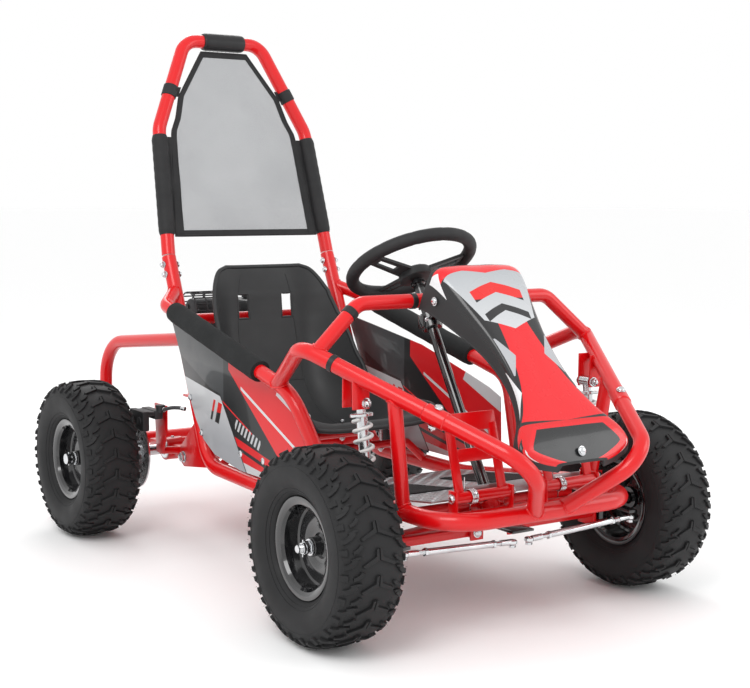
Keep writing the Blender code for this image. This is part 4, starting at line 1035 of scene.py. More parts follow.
slot_top, slot_foot = (min(back_rows, key=lambda i: abs(seat_profile[i][1] - z)) for z in (0.556, 0.498))
seat_profile[slot_top][1], seat_profile[slot_foot][1] = 0.556, 0.498
shares = [i / 24 - 1 for i in range(49)]
slot_half = seat_profile[(slot_top + slot_foot) // 2][2]
inner, outer = (min(range(49), key=lambda j: abs(shares[j] - x / slot_half)) for x in (0.044, 0.074))


def seat_spot(i, j):
    """A point of the seat's skin, whose sides curl up into bolsters."""
    y, z, half, rise = seat_profile[i]
    before, after = seat_profile[max(i - 1, 0)], seat_profile[min(i + 1, len(seat_profile) - 1)]
    run = Vector((0, after[0] - before[0], after[1] - before[1])).normalized()
    share = shares[j]
    if slot_foot <= i <= slot_top:
        snapped = {inner: 0.044, outer: 0.074, 48 - inner: -0.044, 48 - outer: -0.074}
        share = snapped[j] / half if j in snapped else share
    curl = max(0.0, (abs(share) - 0.5) / 0.5) ** 2 * rise
    return Vector((share * half, y, z)) + Vector((0, -run.z, run.y)) * curl


shape = bmesh.new()
seat_rows = [[seat_spot(i, j) for j in range(49)] for i in range(len(seat_profile))]
gaps = [(i, j) for i in range(slot_foot, slot_top) for a in (inner, 48 - outer) for j in range(a,
    a + outer - inner)]
shell(shape, seat_rows, 0.0040, skip=gaps)
brim = seat_rows[0] + [row[-1] for row in seat_rows[1:]] + seat_rows[-1][-2::
    -1] + [row[0] for row in seat_rows[-2:0:-1]]
sweep(shape, brim, 0.0048, 14, closed=True)
for a in (inner, 48 - outer):
    b = a + outer - inner
    lip = [(slot_foot, j) for j in range(a, b)] + [(i, b) for i in range(slot_foot, slot_top)]
    lip += [(slot_top, j) for j in range(b, a, -1)] + [(i, a) for i in range(slot_top, slot_foot, -1)]
    sweep(shape, [seat_rows[i][j] for i, j in lip], 0.0030, 10, closed=True)
for j in (13, 35):
    sweep(shape, [seat_rows[i][j] + Vector((0, -0.0012, 0.0012)) for i in range(6, 70)], 0.0016, 8)
for i in (22, 42):
    sweep(shape, [seat_rows[i][j] + Vector((0, -0.0012, 0.0012)) for j in range(13, 36)], 0.0013, 8)
finished("seat_bucket", shape, "chassis", "moulded_plastic", plastic, replaces=["seat"], sharp=40)
shape = bmesh.new()
for x, y in ((0.10, 0.020), (-0.10, 0.020), (0.10, 0.180), (-0.10, 0.180)):
    z = 0.287 if y < 0.1 else 0.2655
    bolt(shape, (x, y, z), (x, y, 0.228), 0.0036, domed=False)
finished("seat_bolts", shape, "chassis", "bright_zinc", zinc)

# ---------------------------------------------------------------------------
# Nose fairing: a 3 mm black moulding that falls from the dash tube to the bumper, its sides turned
# down, with a printed vinyl graphic of plain panels and chevrons on its face.
grained = Finish("fairing_skin", (0.022, 0.023, 0.024), 0.5, Specular_IOR_Level=0.4)
across = grained.node("SeparateXYZ", sockets={0: grained.node("TexCoord", output="UV")}, output=0)
down_it = grained.node("SeparateXYZ", sockets={0: grained.node("TexCoord", output="UV")}, output=1)
off = abs(across - 0.5) * 2.6
decal = (off < 0.98 - abs(down_it - 0.42) * 0.10) * (down_it > 0.125) * (down_it < 0.975)
plate_zone = (off < 1.02 - down_it * 1.35) * (down_it > 0.185 + abs(off - 0.35) * 0.05) * (down_it < 0.375
    - off * 0.05)
chevron_zone = (abs(down_it - 0.255 - off * 0.06) < 0.016).most(abs(down_it - 0.315 - off
    * 0.06) < 0.010) * (off < 0.46)
red_zone = (off < 0.32 + abs(down_it - 0.36) * 1.6).most(down_it < 0.2) * (down_it < 0.655 - off * 0.02)
white_zone = ((off > 0.70 + abs(down_it - 0.16) * 3.2) * (down_it < 0.24)).most(
    (off > 0.62 + abs(down_it - 0.545) * 4.5) * (abs(down_it - 0.545) < 0.075))
silver_zone = (off > 0.36 + abs(down_it - 0.445) * 5) * (off < 0.66) * (abs(down_it - 0.445) < 0.05)
patch_frame = (off < 0.62 - abs(down_it - 0.80) * 0.9) * (down_it > 0.668)
patch_zone = (off < 0.56 - abs(down_it - 0.80) * 0.9) * (down_it > 0.682)
wedge_zone = (off > 0.72) * (abs(down_it - 0.74 - (off - 0.72) * 0.2) < 0.028)
line_zone = abs(down_it - 0.80 - (off - 0.72) * 0.35) < 0.010
skin = grained.mixed(grained.noise(8, 3.0), (0.016, 0.017, 0.018), (0.027, 0.028, 0.029))
ink = grained.mixed(white_zone * 1.0, (0.012, 0.012, 0.013), (0.72, 0.73, 0.74))
ink = grained.mixed(red_zone, ink, (0.72, 0.004, 0.010))
ink = grained.mixed(white_zone, ink, (0.72, 0.73, 0.74))
ink = grained.mixed(silver_zone, ink, (0.42, 0.43, 0.45))
ink = grained.mixed(plate_zone, ink, grained.mixed(down_it * 3 - 0.5, (0.36, 0.38, 0.40), (0.68, 0.69, 0.70)))
ink = grained.mixed(chevron_zone * plate_zone, ink, grained.mixed(down_it > 0.29, (0.70, 0.010, 0.008),
    (0.010, 0.010, 0.012)))
low_ink = grained.mixed(wedge_zone, (0.66, 0.004, 0.008), (0.012, 0.012, 0.013))
low_ink = grained.mixed(line_zone * (off > 0.70), low_ink, (0.70, 0.71, 0.72))
low_ink = grained.mixed(patch_frame, low_ink, (0.72, 0.004, 0.010))
low_ink = grained.mixed(patch_zone, low_ink, (0.012, 0.013, 0.014))
ink = grained.mixed(down_it > 0.655, ink, low_ink)
grained.give({"Base Color": grained.mixed(decal, skin, ink)})
grained.give({"Roughness": 0.50 + grained.noise(24, 3.0) * 0.14 - decal * 0.30})
grained.give({"Coat Weight": decal * 0.35})
grained.bump(grained.noise(900, 2.0) * 0.4 + decal, 0.0002, 0.3)
fairing_line = flowing([
    Vector(row) for row in (
        (-0.425, 0.651, 0.094, 0.074), (-0.440, 0.664, 0.098, 0.086), (-0.470, 0.652, 0.096, 0.082),
        (-0.520, 0.600, 0.080, 0.060), (-0.580, 0.538, 0.064, 0.040), (-0.640, 0.476, 0.064, 0.028),
        (-0.690, 0.425, 0.084, 0.024), (-0.725, 0.388, 0.116, 0.024), (-0.742, 0.364, 0.120, 0.020),
        (-0.752, 0.346, 0.086, 0.016), (-0.757, 0.336, 0.050, 0.014),
    )
], 8)
half_spine = flowing([(0, 0, 0), (0.5, 0, 0), (0.94, 0.08, 0), (1.03, 0.45, 0), (1.06, 1.0, 0)], 6)
spine = [Vector((-p.x, p.y, 0)) for p in reversed(half_spine[1:])] + half_spine
turn_down = Vector((0, 0.35, -0.94))
fairing_rows = [
    [Vector((p.x * half, y, z)) + turn_down * drop * p.y for p in spine] for y, z, half, drop in fairing_line
]
shape = bmesh.new()
shares_of = shell(shape, fairing_rows, 0.0027)
marks = shape.loops.layers.uv.new("skin")
for face in shape.faces:
    for loop in face.loops:
        loop[marks].uv = shares_of[loop.vert]
for rim_line in ([row[0] for row in fairing_rows], [row[-1] for row in fairing_rows]):
    sweep(shape, rim_line, 0.0021, 10)
sweep(shape, fairing_rows[0], 0.0021, 10)
sweep(shape, fairing_rows[-1], 0.0021, 10)
finished("fairing_moulding", shape, "chassis", "moulded_plastic", grained, replaces=["nose_fairing"],
    sharp=40)

# ---------------------------------------------------------------------------
# Fairing fixings: domed bolts through its sides into two red steel tabs, and one at its foot.
shape = bmesh.new()
for side in (1, -1):
    bolt(shape, (side * 0.1032, -0.452, 0.600), (side * 0.086, -0.452, 0.600), 0.0040)
    block(shape, (0.014, 0.030, 0.003), (side * 0.060, -0.404, 0.600), bevel=0.0006, paint=1)
    bolt(shape, (side * 0.060, -0.410, 0.6025), (side * 0.060, -0.410, 0.5975), 0.0035)
    block(shape, (0.003, 0.042, 0.018), (side * 0.0880, -0.428, 0.596), bevel=0.0006, paint=1)
bolt(shape, (0, -0.7530, 0.3545), (0, -0.745, 0.352), 0.0042)
finished("fairing_bolts", shape, "chassis", "bright_zinc", zinc, red)

# ---------------------------------------------------------------------------
# Side panels: 3 mm moulded plastic sheets between the floor tube and the side rail, with a printed
# vinyl graphic of plain diagonal panels, held by push rivets along the foot and bolts behind.
panel_skin = Finish("side_panel_skin", (0.02, 0.02, 0.021), 0.36, Specular_IOR_Level=0.45)
x, y, z = panel_skin.axes()
weave = ((y * 2400 + z * 2400).sine() * (y * 2400 - z * 2400).sine()) > 0.0
carbon = panel_skin.mixed(weave, (0.036, 0.039, 0.041), (0.056, 0.060, 0.063))
rise = z - y * 0.42
ink = panel_skin.mixed((y > 0.128) * (rise > 0.288), (0.010, 0.011, 0.012), carbon)
wedge = (z - 0.408 + (0.091 - y) * 0.74 > 0.0).least(y < 0.105)
ink = panel_skin.mixed(wedge, ink, (0.66, 0.006, 0.010))
stripe = abs(z - 0.372 - (y - 0.020) * 0.42) < 0.0035
ink = panel_skin.mixed(stripe * (y < 0.050), ink, (0.62, 0.63, 0.64))
tip = (z - 0.392 - (y + 0.09) * 0.42 > 0.0) * (y < -0.085 - (z - 0.36) * 0.5)
ink = panel_skin.mixed(tip, ink, (0.60, 0.61, 0.62))
inner_edge = y - 0.143 + (0.355 - z) * 0.777
low_red = (z < 0.278 + (y - 0.088) * 0.18) * (inner_edge < 0.0)
ink = panel_skin.mixed(low_red, ink, (0.64, 0.005, 0.009))
low_black = (z < 0.262 + (y - 0.088) * 0.18) * (z > 0.254 + (y - 0.088) * 0.18) * (inner_edge < 0.0)
ink = panel_skin.mixed(low_black, ink, (0.014, 0.014, 0.015))
ink = panel_skin.mixed((z < 0.222 + y * 0.10) * (inner_edge < 0.0), ink, (0.55, 0.56, 0.57))
frame_line = (abs(z - 0.348 - (y - 0.139) * 0.40) < 0.0018) * (y < 0.139) * (y > 0.0)
ink = panel_skin.mixed(frame_line, ink, (0.66, 0.008, 0.010))
plate_zone = (inner_edge > 0.0) * (z < 0.355 + (y - 0.143) * 0.15)
border = (inner_edge > -0.004) * (z < 0.361 + (y - 0.143) * 0.15)
silver = panel_skin.mixed((z - 0.25) * 8, (0.34, 0.35, 0.37), (0.60, 0.61, 0.62))
ink = panel_skin.mixed(border, ink, (0.012, 0.012, 0.013))
ink = panel_skin.mixed(plate_zone, ink, silver)
bars = ((abs((y + z * 0.35) * 44 - 11.5) * 1.0).fraction() < 0.42) * (abs(z - 0.318 - (y - 0.155)
    * 0.16) < 0.024)
bars = bars * (abs(y + z * 0.35 - 0.272) < 0.033)
ink = panel_skin.mixed(bars * plate_zone, ink, panel_skin.mixed(z > 0.318, (0.012, 0.012, 0.013),
    (0.64, 0.012, 0.010)))
slashes = (((y + z * 0.55) * 60).fraction() < 0.5) * (abs(y - 0.020) < 0.055)
slashes = slashes * (abs(z - 0.288 - (y - 0.020) * 0.30) < 0.012)
ink = panel_skin.mixed(slashes * (1 - low_red), ink, (0.50, 0.51, 0.52))
panel_skin.give({"Base Color": ink})
panel_skin.give({"Roughness": 0.30 + panel_skin.noise(30, 3.0) * 0.16})
panel_skin.give({"Coat Weight": 0.2 + panel_skin.noise(14) * 0.1})
panel_skin.bump(panel_skin.noise(300, 2.0), 0.0002, 0.2)
panel_outline = [
    (0.376, 0.497), (0.334, 0.425), (0.300, 0.350), (0.262, 0.292), (0.222, 0.248), (0.170, 0.222), (0.054,
    0.206),
    (-0.135, 0.206), (-0.236, 0.240), (-0.231, 0.365), (-0.190, 0.382), (-0.120, 0.402), (0.060, 0.450),
]
for name, side in SIDES.items():
    shape = bmesh.new()
    slab(shape, panel_outline, *sorted((side * 0.2386, side * 0.2414)), bevel=0.0007)
    finished(f"panel_{name}", shape, "chassis", "moulded_plastic", panel_skin,
        replaces=[f"side_panel_{name}"])
shape = bmesh.new()
rivet = [(0, 0.0072), (0.0010, 0.0072), (0.0026, 0.0052), (0.0034, 0.0028), (0.0034, 0.0001)]
for side in (1, -1):
    for y, z in ((0.050, 0.243), (-0.046, 0.243), (-0.150, 0.250), (-0.205, 0.352)):
        lathe(shape, rivet, (side * 0.2414, y, z), (side, 0, 0), 24)
    for y, z in ((0.284, 0.335), (0.228, 0.262)):
        bolt(shape, (side * 0.2415, y, z), (side * 0.2375, y, z), 0.0036)
finished("panel_fixings", shape, "chassis", "bright_zinc", zinc)

# ---------------------------------------------------------------------------
# Steering wheel: a moulded core with a thick grained rim stitched round its inside, three slotted
# spokes and a plain hub cover; it is clamped on the column.
grip = Finish("wheel_grip", (0.014, 0.014, 0.015), 0.6, Specular_IOR_Level=0.4)
grip.give({"Roughness": 0.52 + grip.noise(50, 3.0) * 0.2})
grip.give({"Base Color": grip.mixed(grip.noise(20, 3.0), (0.010, 0.010, 0.011), (0.020, 0.020, 0.021))})
grip.bump(grip.noise(650, 2.0), 0.0005, 0.6)
WHEEL_R, GRIP_R = 0.125, 0.0133
level = Vector((0, STEER_AXIS.z, -STEER_AXIS.y))
sideways = Vector((1, 0, 0))
hub = WHEEL_CENTRE - STEER_AXIS * 0.026


def wheel_spot(angle, radius, height=0.0):
    return WHEEL_CENTRE + (sideways * math.cos(angle) + level
        * math.sin(angle)) * radius + STEER_AXIS * height


shape = bmesh.new()
angles = [math.tau * i / 96 for i in range(96)]
sweep(shape, [wheel_spot(a, WHEEL_R) for a in angles], [GRIP_R - 0.0005 * (i % 8 == 0) for i in range(96)],
    22, closed=True)
for i in range(110):
    a = math.tau * i / 110
    rod(shape, wheel_spot(a, WHEEL_R - 0.0131, -0.002), wheel_spot(a + 0.022, WHEEL_R - 0.0131, 0.002),
        0.0006, 5)
for direction in (sideways * 0.97 - level * 0.24, -sideways * 0.97 - level * 0.24, level):
    outer = WHEEL_CENTRE + direction * WHEEL_R
    across = direction.cross(STEER_AXIS).normalized()
    rows = []
    for share in (0.10, 0.30, 0.42, 0.80, 0.88, 1.0):
        middle = hub.lerp(outer, share)
        half = 0.020 - 0.006 * share
        rows.append([middle + across * half * k for k in (-1, -0.45, 0.45, 1)])
    shell(shape, rows, 0.0055, skip=[(2, 1)], paint=1)
    for k in (-0.9, 0.9):
        rib = [row[0].lerp(row[-1], 0.5 + k / 2) + STEER_AXIS * 0.002 for row in rows]
        sweep(shape, rib, 0.0022, 8, paint=1)
cover = [(0, 0.028), (0.002, 0.0335), (0.014, 0.0338), (0.0185, 0.0320), (0.0215, 0.0265), (0.0218, 0.0120),
    (0.0205, 0.0001)]
lathe(shape, cover, hub - STEER_AXIS * 0.0098, STEER_AXIS, 40, paint=1)
finished("wheel_and_grip", shape, "steering", "moulded_plastic", grip, plastic, replaces=["steering_wheel"])
shape = bmesh.new()
for i in range(3):
    spot = hub + (sideways * math.cos(i * 2.094 + 0.5) + level * math.sin(i * 2.094
        + 0.5)) * 0.0235 + STEER_AXIS * 0.0108
    lathe(shape, [(0, 0.0036), (0.0014, 0.0034), (0.0020, 0.0022)], spot, STEER_AXIS, 18)
finished("wheel_screws", shape, "steering", "bright_zinc", zinc)

# ---------------------------------------------------------------------------
# Steering column: a straight black steel tube with the pitman plate welded across its foot.
TIE_INNER, TIE_OUTER = Vector((0.020, -0.592, 0.159)), Vector((0.272, -0.600, 0.172))
shape = bmesh.new()
foot = column_at(0.178)
rod(shape, foot, hub - STEER_AXIS * 0.0105, 0.011, 32)
for share in (0.30, 0.98):
    ring_at = along(foot, hub, share)
    lathe(shape, [(0, 0.0112), (0.001, 0.0150), (0.006, 0.0150), (0.007, 0.0112)],
        ring_at - STEER_AXIS * 0.012, STEER_AXIS, 32)
bar(shape, (0, foot.y + 0.016, 0.178), (0, TIE_INNER.y - 0.008, 0.178), 0.052, 0.005, bevel=0.0015)
weld(shape, foot + STEER_AXIS * 0.03, -STEER_AXIS, 0.011, (0, foot.y, 0.178), (1, 0, 0), 0.004)
finished("column_tube", shape, "steering", "black_gloss_steel", gloss_black, replaces=["steering_column"])

# ---------------------------------------------------------------------------
# Column bearing: a black split block on a flat arm bolted to the dash tube.
shape = bmesh.new()
middle = column_at(0.545)
lowest, highest = middle - STEER_AXIS * 0.016, middle + STEER_AXIS * 0.016
sweep(shape, [lowest, lowest + STEER_AXIS * 0.001, highest - STEER_AXIS * 0.001, highest, highest, lowest],
      [0.0188, 0.0198, 0.0198, 0.0188, 0.0120, 0.0120], 36, closed=True)
clamp = Vector((0, DASH_CORNER.y, DASH_CORNER.z))
reach = (middle - clamp).normalized()
bar(shape, clamp + reach * 0.0148, middle - reach * 0.0125, 0.026, 0.006)
for side in (1, -1):
    block(shape, (0.006, 0.018, 0.026), middle + Vector((side * 0.021, 0, 0)), bevel=0.001)
finished("column_bearing", shape, "chassis", "black_gloss_steel", gloss_black, replaces=["column_bracket"])
shape = bmesh.new()
for side in (1, -1):
    bolt(shape, middle + Vector((side * 0.0165, -0.0095, 0.006)),
        middle + Vector((side * 0.0165, 0.0095, 0.006)), 0.0026)
finished("bearing_bolts", shape, "chassis", "bright_zinc", zinc)

# ---------------------------------------------------------------------------
# Front arms: two box-section legs on a bushed pivot tube, with a back plate, kingpin lugs and shock
# ears, all welded steel in the frame's red; their pivot and kingpin bolts are zinc plated.
ARM_PIVOT = Vector((0.045, 0, 0.165))
KINGPIN = Vector((0.290, -0.495, 0.180))
for name, side in SIDES.items():
    body = f"front_arm_{name}"
    eye = on_side(SHOCK_FOOT, side)
    root_x = side * (KINGPIN.x - 0.033)
    shape = bmesh.new()
    rod(shape, (side * ARM_PIVOT.x, -0.513, ARM_PIVOT.z), (side * ARM_PIVOT.x, -0.427, ARM_PIVOT.z), 0.012)
    for y, dy in ((-0.502, -0.006), (-0.438, 0.010)):
        bar(shape, (side * ARM_PIVOT.x, y, ARM_PIVOT.z), (root_x, KINGPIN.y + dy, ARM_PIVOT.z), 0.020, 0.018,
            bevel=0.003)
        weld(shape, (side * 0.07, y, ARM_PIVOT.z), (-side, 0, 0), 0.0095, (side * ARM_PIVOT.x, y,
            ARM_PIVOT.z), (0, 1, 0), 0.012)
    block(shape, (0.007, 0.042, 0.082), (root_x, KINGPIN.y, KINGPIN.z), bevel=0.001)
    for z in (-0.038, 0.038):
        lug_x = side * (KINGPIN.x - 0.010)
        block(shape, (0.052, 0.043, 0.006), (lug_x, KINGPIN.y + 0.0055, KINGPIN.z + z), bevel=0.0015)
    for y in (-0.0197, 0.0197):
        block(shape, (0.022, 0.004, 0.034), (eye.x, eye.y + y, eye.z - 0.006), bevel=0.0012)
    block(shape, (0.060, 0.012, 0.005), (root_x - side * 0.030, KINGPIN.y + 0.004, ARM_PIVOT.z + 0.0105),
        bevel=0.001)
    finished(f"arm_{name}", shape, body, "red_powder_coat", red, replaces=[f"front_arm_{name}"])
    shape = bmesh.new()
    bolt(shape, (side * ARM_PIVOT.x, -0.5188, ARM_PIVOT.z), (side * ARM_PIVOT.x, -0.4212, ARM_PIVOT.z),
        0.0048, domed=False)
    finished(f"arm_pivot_bolt_{name}", shape, "chassis", "bright_zinc", zinc)
    shape = bmesh.new()
    bolt(shape, on_side(KINGPIN, side) + Vector((0, 0, 0.0413)), on_side(KINGPIN,
        side) - Vector((0, 0, 0.0413)), 0.0050)
    bolt(shape, eye + Vector((0, -0.0219, 0)), eye + Vector((0, 0.0219, 0)), 0.0042)
    finished(f"arm_bolts_{name}", shape, body, "bright_zinc", zinc)

# ---------------------------------------------------------------------------
# Knuckles: a black steel kingpin barrel with the stub axle and the steering lever welded to it.
for name, side in SIDES.items():
    shape = bmesh.new()
    kingpin = on_side(KINGPIN, side)
    barrel = [(0, 0.0120), (0.0010, 0.0130), (0.0660, 0.0130), (0.0670, 0.0120)]
    lathe(shape, barrel, kingpin - Vector((0, 0, 0.0335)), (0, 0, 1), 36)
    stub = [(0.008, 0.0180), (0.014, 0.0165), (0.018, 0.0120), (0.040, 0.0103), (0.1095, 0.0100), (0.1100,
        0.0076), (0.1200, 0.0074)]
    lathe(shape, stub, kingpin, (side, 0, 0), 32)
    tip = on_side(TIE_OUTER, side) + Vector((0, -0.008, 0.0118))
    bar(shape, kingpin + Vector((side * -0.002, 0, tip.z - kingpin.z)), tip, 0.020, 0.0068, bevel=0.0012)
    finished(f"knuckle_and_stub_{name}", shape, f"knuckle_{name}", "black_gloss_steel", gloss_black,
             replaces=[f"knuckle_{name}"])

# ---------------------------------------------------------------------------
# Tie rods: zinc-plated steel rods threaded at both ends, with jam nuts and ball rod ends.
for name, side in SIDES.items():
    shape = bmesh.new()
    start, end = on_side(TIE_INNER, side), on_side(TIE_OUTER, side)
    run = (end - start).normalized()
    length = (end - start).length
    rod(shape, start + run * 0.050, end - run * 0.050, 0.0063, 24)
    for tip, way in ((start, run), (end, -run)):
        threads = [(0.012 + 0.0011 * k, 0.0046 if k % 2 else 0.0040) for k in range(36)]
        lathe(shape, threads, tip, way, 18)
        nut(shape, tip + way * 0.047, way, 0.0078, 0.006)
        rod(shape, tip + way * 0.007, tip + way * 0.030, 0.0058, 18)
        ring = [(0.0040 * math.cos(a),
            0.0072 + 0.0020 * math.sin(a)) for a in [math.tau * k / 8 for k in range(8)]]
        spun(shape, ring, tip, axis=(0, 0, 1), steps=28)
        ball = [(-0.0045, 0.0042), (-0.003, 0.0056), (0, 0.0062), (0.003, 0.0056), (0.0045, 0.0042)]
        lathe(shape, ball, tip, (0, 0, 1), 24)
        lathe(shape, [(0, 0.0064), (0.0012, 0.0064)], tip - Vector((0, 0, 0.0056)), (0, 0, -1), 20)
        nut(shape, tip - Vector((0, 0, 0.0085)), (0, 0, -1), 0.0068, 0.0038)
    finished(f"track_rod_{name}", shape, f"tie_rod_{name}", "bright_zinc", zinc, replaces=[f"tie_rod_{name}"])

# ---------------------------------------------------------------------------
# Shock absorbers: a polished damper with eyes at both ends, pressed spring seats, and a coil spring
# wound from pale powder-coated wire between them.
spring_paint = Finish("grey_spring", (0.66, 0.66, 0.65), 0.35, Coat_Weight=0.3)
spring_paint.give({"Roughness": 0.3 + spring_paint.noise(60, 3.0) * 0.2})
spring_paint.give({"Base Color": spring_paint.mixed(spring_paint.noise(25, 3.0), (0.56, 0.56, 0.55), (0.70,
    0.70, 0.69))})
spring_paint.bump(spring_paint.noise(400, 2.0), 0.0001, 0.2)


def shock(name, top, foot, coil_r, wire_r, turns, pin, upper, lower, replaced):
    """Damper body and rod on their own bodies, and the wound spring that spans them."""
    step = (foot - top).normalized()
    length = (foot - top).length
    pin = Vector(pin)
    shape = bmesh.new()
    eye = [(-pin.length, 0.0100), (-pin.length + 0.0008, 0.0110), (pin.length - 0.0008, 0.0110), (pin.length,
        0.0100)]
    lathe(shape, eye, top, pin, 30)
    neck = [(0.008, 0.0085), (0.0200, 0.0085), (0.0205, 0.0200), (0.0220, coil_r + 0.0020), (0.0260,
        coil_r + 0.0020)]
    neck += [(0.0270, coil_r + 0.0010), (0.0275, 0.0105), (0.56 * length - 0.002, 0.0105), (0.56 * length,
        0.0092)]
    lathe(shape, neck, top, step, 36)
    finished(f"{name}_damper", shape, upper, "bright_zinc", zinc, replaces=[replaced + "_body"])
    shape = bmesh.new()
    lathe(shape, eye, foot, pin, 30)
    base = [(0.008, 0.0085), (0.0200, 0.0085), (0.0205, 0.0200), (0.0220, coil_r + 0.0020), (0.0260,
        coil_r + 0.0020)]
    base += [(0.0270, coil_r + 0.0010), (0.0275, 0.0050), (0.47 * length, 0.0050)]
    lathe(shape, base, foot, -step, 36)
    finished(f"{name}_piston", shape, lower, "bright_zinc", zinc, replaces=[replaced + "_rod"])
    shape = bmesh.new()
    side = step.orthogonal().normalized()
    other = step.cross(side)
    low, high = 0.0275 + wire_r, length - 0.0275 - wire_r
    count = int(turns * 28)
    wire = []
    for i in range(count + 1):
        share = i / count
        eased = share + 0.055 * math.sin(math.tau * share) / math.tau * -2
        a = math.tau * turns * share
        ring_r = coil_r - wire_r
        wire.append(top + step * (low + (high - low) * eased) + side * math.cos(a) * ring_r + other
            * math.sin(a) * ring_r)
    sweep(shape, wire, wire_r, 12)
    spring = finished(f"{name}_coil", shape, None, None, spring_paint, replaces=[replaced + "_spring"])
    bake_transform(spring)


for name, side in SIDES.items():
    body = f"front_shock_{name}"
    shock(f"front_{name}", on_side(SHOCK_TOP, side), on_side(SHOCK_FOOT, side), 0.0195, 0.0034, 6.5, (0,
        0.0135, 0),
          body + "_body", body + "_rod", body)
shock("rear", Vector((0, 0.412, 0.455)), Vector((0, 0.440, 0.222)), 0.024, 0.0042, 7.5, (0.0115, 0, 0),
      "rear_shock_body", "rear_shock_rod", "rear_shock")
shape = bmesh.new()
for side in (1, -1):
    eye = on_side(SHOCK_TOP, side)
    bolt(shape, eye + Vector((0, 0.0187, 0)), eye + Vector((0, -0.0187, 0)), 0.0046)
bolt(shape, (-0.0182, 0.412, 0.455), (0.0182, 0.412, 0.455), 0.0044)
finished("shock_top_bolts", shape, "chassis", "bright_zinc", zinc)

# ---------------------------------------------------------------------------
# Swing arm: two box-section legs from a pivot tube to the axle housings, cross tubes, and the deck
# that carries the engine, welded and powder coated in the frame's red.
shape = bmesh.new()
rod(shape, (-0.2130, 0.365, 0.183), (0.2130, 0.365, 0.183), 0.014)
for side in (1, -1):
    arm_x = side * 0.185
    bar(shape, (arm_x, 0.365, 0.183), (arm_x, 0.600, 0.175), 0.024, 0.028, bevel=0.003)
    housing = [(-0.022, 0.0134), (-0.022, 0.0262), (-0.0212, 0.0270), (0.0212, 0.0270), (0.022, 0.0262),
        (0.022, 0.0134)]
    spun(shape, housing, (arm_x, 0.495, 0.180), steps=40)
    block(shape, (0.030, 0.004, 0.110), (side * 0.045, 0.585, 0.230), bevel=0.001)
    bar(shape, (side * 0.0165, 0.410, 0.181), (side * 0.0165, 0.440, 0.222), 0.004, 0.022, bevel=0.001)
    bar(shape, (side * 0.060, 0.410, 0.186), (side * 0.060, 0.492, 0.281), 0.024, 0.006, bevel=0.0012)
    for y, z, radius in ((0.585, 0.176, 0.011), (0.410, 0.181, 0.010)):
        weld(shape, (0, y, z), (side, 0, 0), radius, (side * 0.173, y, z), (0, 0, 1), 0.0005)
rod(shape, (-0.185, 0.585, 0.176), (0.185, 0.585, 0.176), 0.011)
rod(shape, (-0.185, 0.410, 0.181), (0.185, 0.410, 0.181), 0.010)
block(shape, (0.170, 0.152, 0.006), (0, 0.564, 0.283), bevel=0.0012)
slab(shape, [(0.420, 0.184), (0.452, 0.184), (0.462, 0.300), (0.400, 0.300), (0.400, 0.240)], -0.248, -0.243)
rod(shape, (-0.185, 0.436, 0.184), (-0.2455, 0.436, 0.190), 0.009)
finished("swing_arm_weldment", shape, "swing_arm", "red_powder_coat", red, replaces=["swing_arm"])
shape = bmesh.new()
for side in (1, -1):
    start = Vector((side * 0.2130, 0.365, 0.183))
    nut(shape, start + Vector((side * 0.0125, 0, 0)), (side, 0, 0), 0.0110, 0.0085)
    lathe(shape, [(0, 0.0075), (0.0180, 0.0075), (0.0185, 0.0060)], start, (side, 0, 0), 24)
    lathe(shape, [(0, 0.0135), (0.0012, 0.0135)], start + Vector((side * 0.0068, 0, 0)), (side, 0, 0), 28)
finished("swing_arm_pivot_bolt", shape, "chassis", "bright_zinc", zinc)
shape = bmesh.new()
bolt(shape, (-0.0188, 0.440, 0.222), (0.0188, 0.440, 0.222), 0.0044)
for side in (1, -1):
    for y, z in ((0.495, 0.2095), (0.524, 0.180)):
        lathe(shape, [(0, 0.0040), (0.0030, 0.0036)], (side * 0.185, y, z - 0.003), (0, 0, 1), 16)
    seal = [(-0.0235, 0.0140), (-0.0235, 0.0215), (-0.0220, 0.0225), (0.0220, 0.0225), (0.0235, 0.0215),
        (0.0235, 0.0140)]
    spun(shape, seal, (side * 0.185, 0.495, 0.180), steps=36)
finished("swing_arm_bearings", shape, "swing_arm", "bright_zinc", zinc)

# ---------------------------------------------------------------------------
# Rear axle: one solid steel bar with circlip grooves, turning in the housings.
shape = bmesh.new()
half_axle = 0.458
profile = [(0, 0.0115), (0.0010, 0.0125)]
for groove in (0.075, 0.230, 0.686, 0.841):
    profile += [(groove, 0.0125), (groove + 0.0004, 0.0116), (groove + 0.0020, 0.0116), (groove + 0.0024,
        0.0125)]
profile += [(half_axle * 2 - 0.0010, 0.0125), (half_axle * 2, 0.0115)]
lathe(shape, profile, (-half_axle, 0.495, 0.180), (1, 0, 0), 36)
finished("axle_bar", shape, "rear_axle", "bright_zinc", zinc, replaces=["rear_axle"])

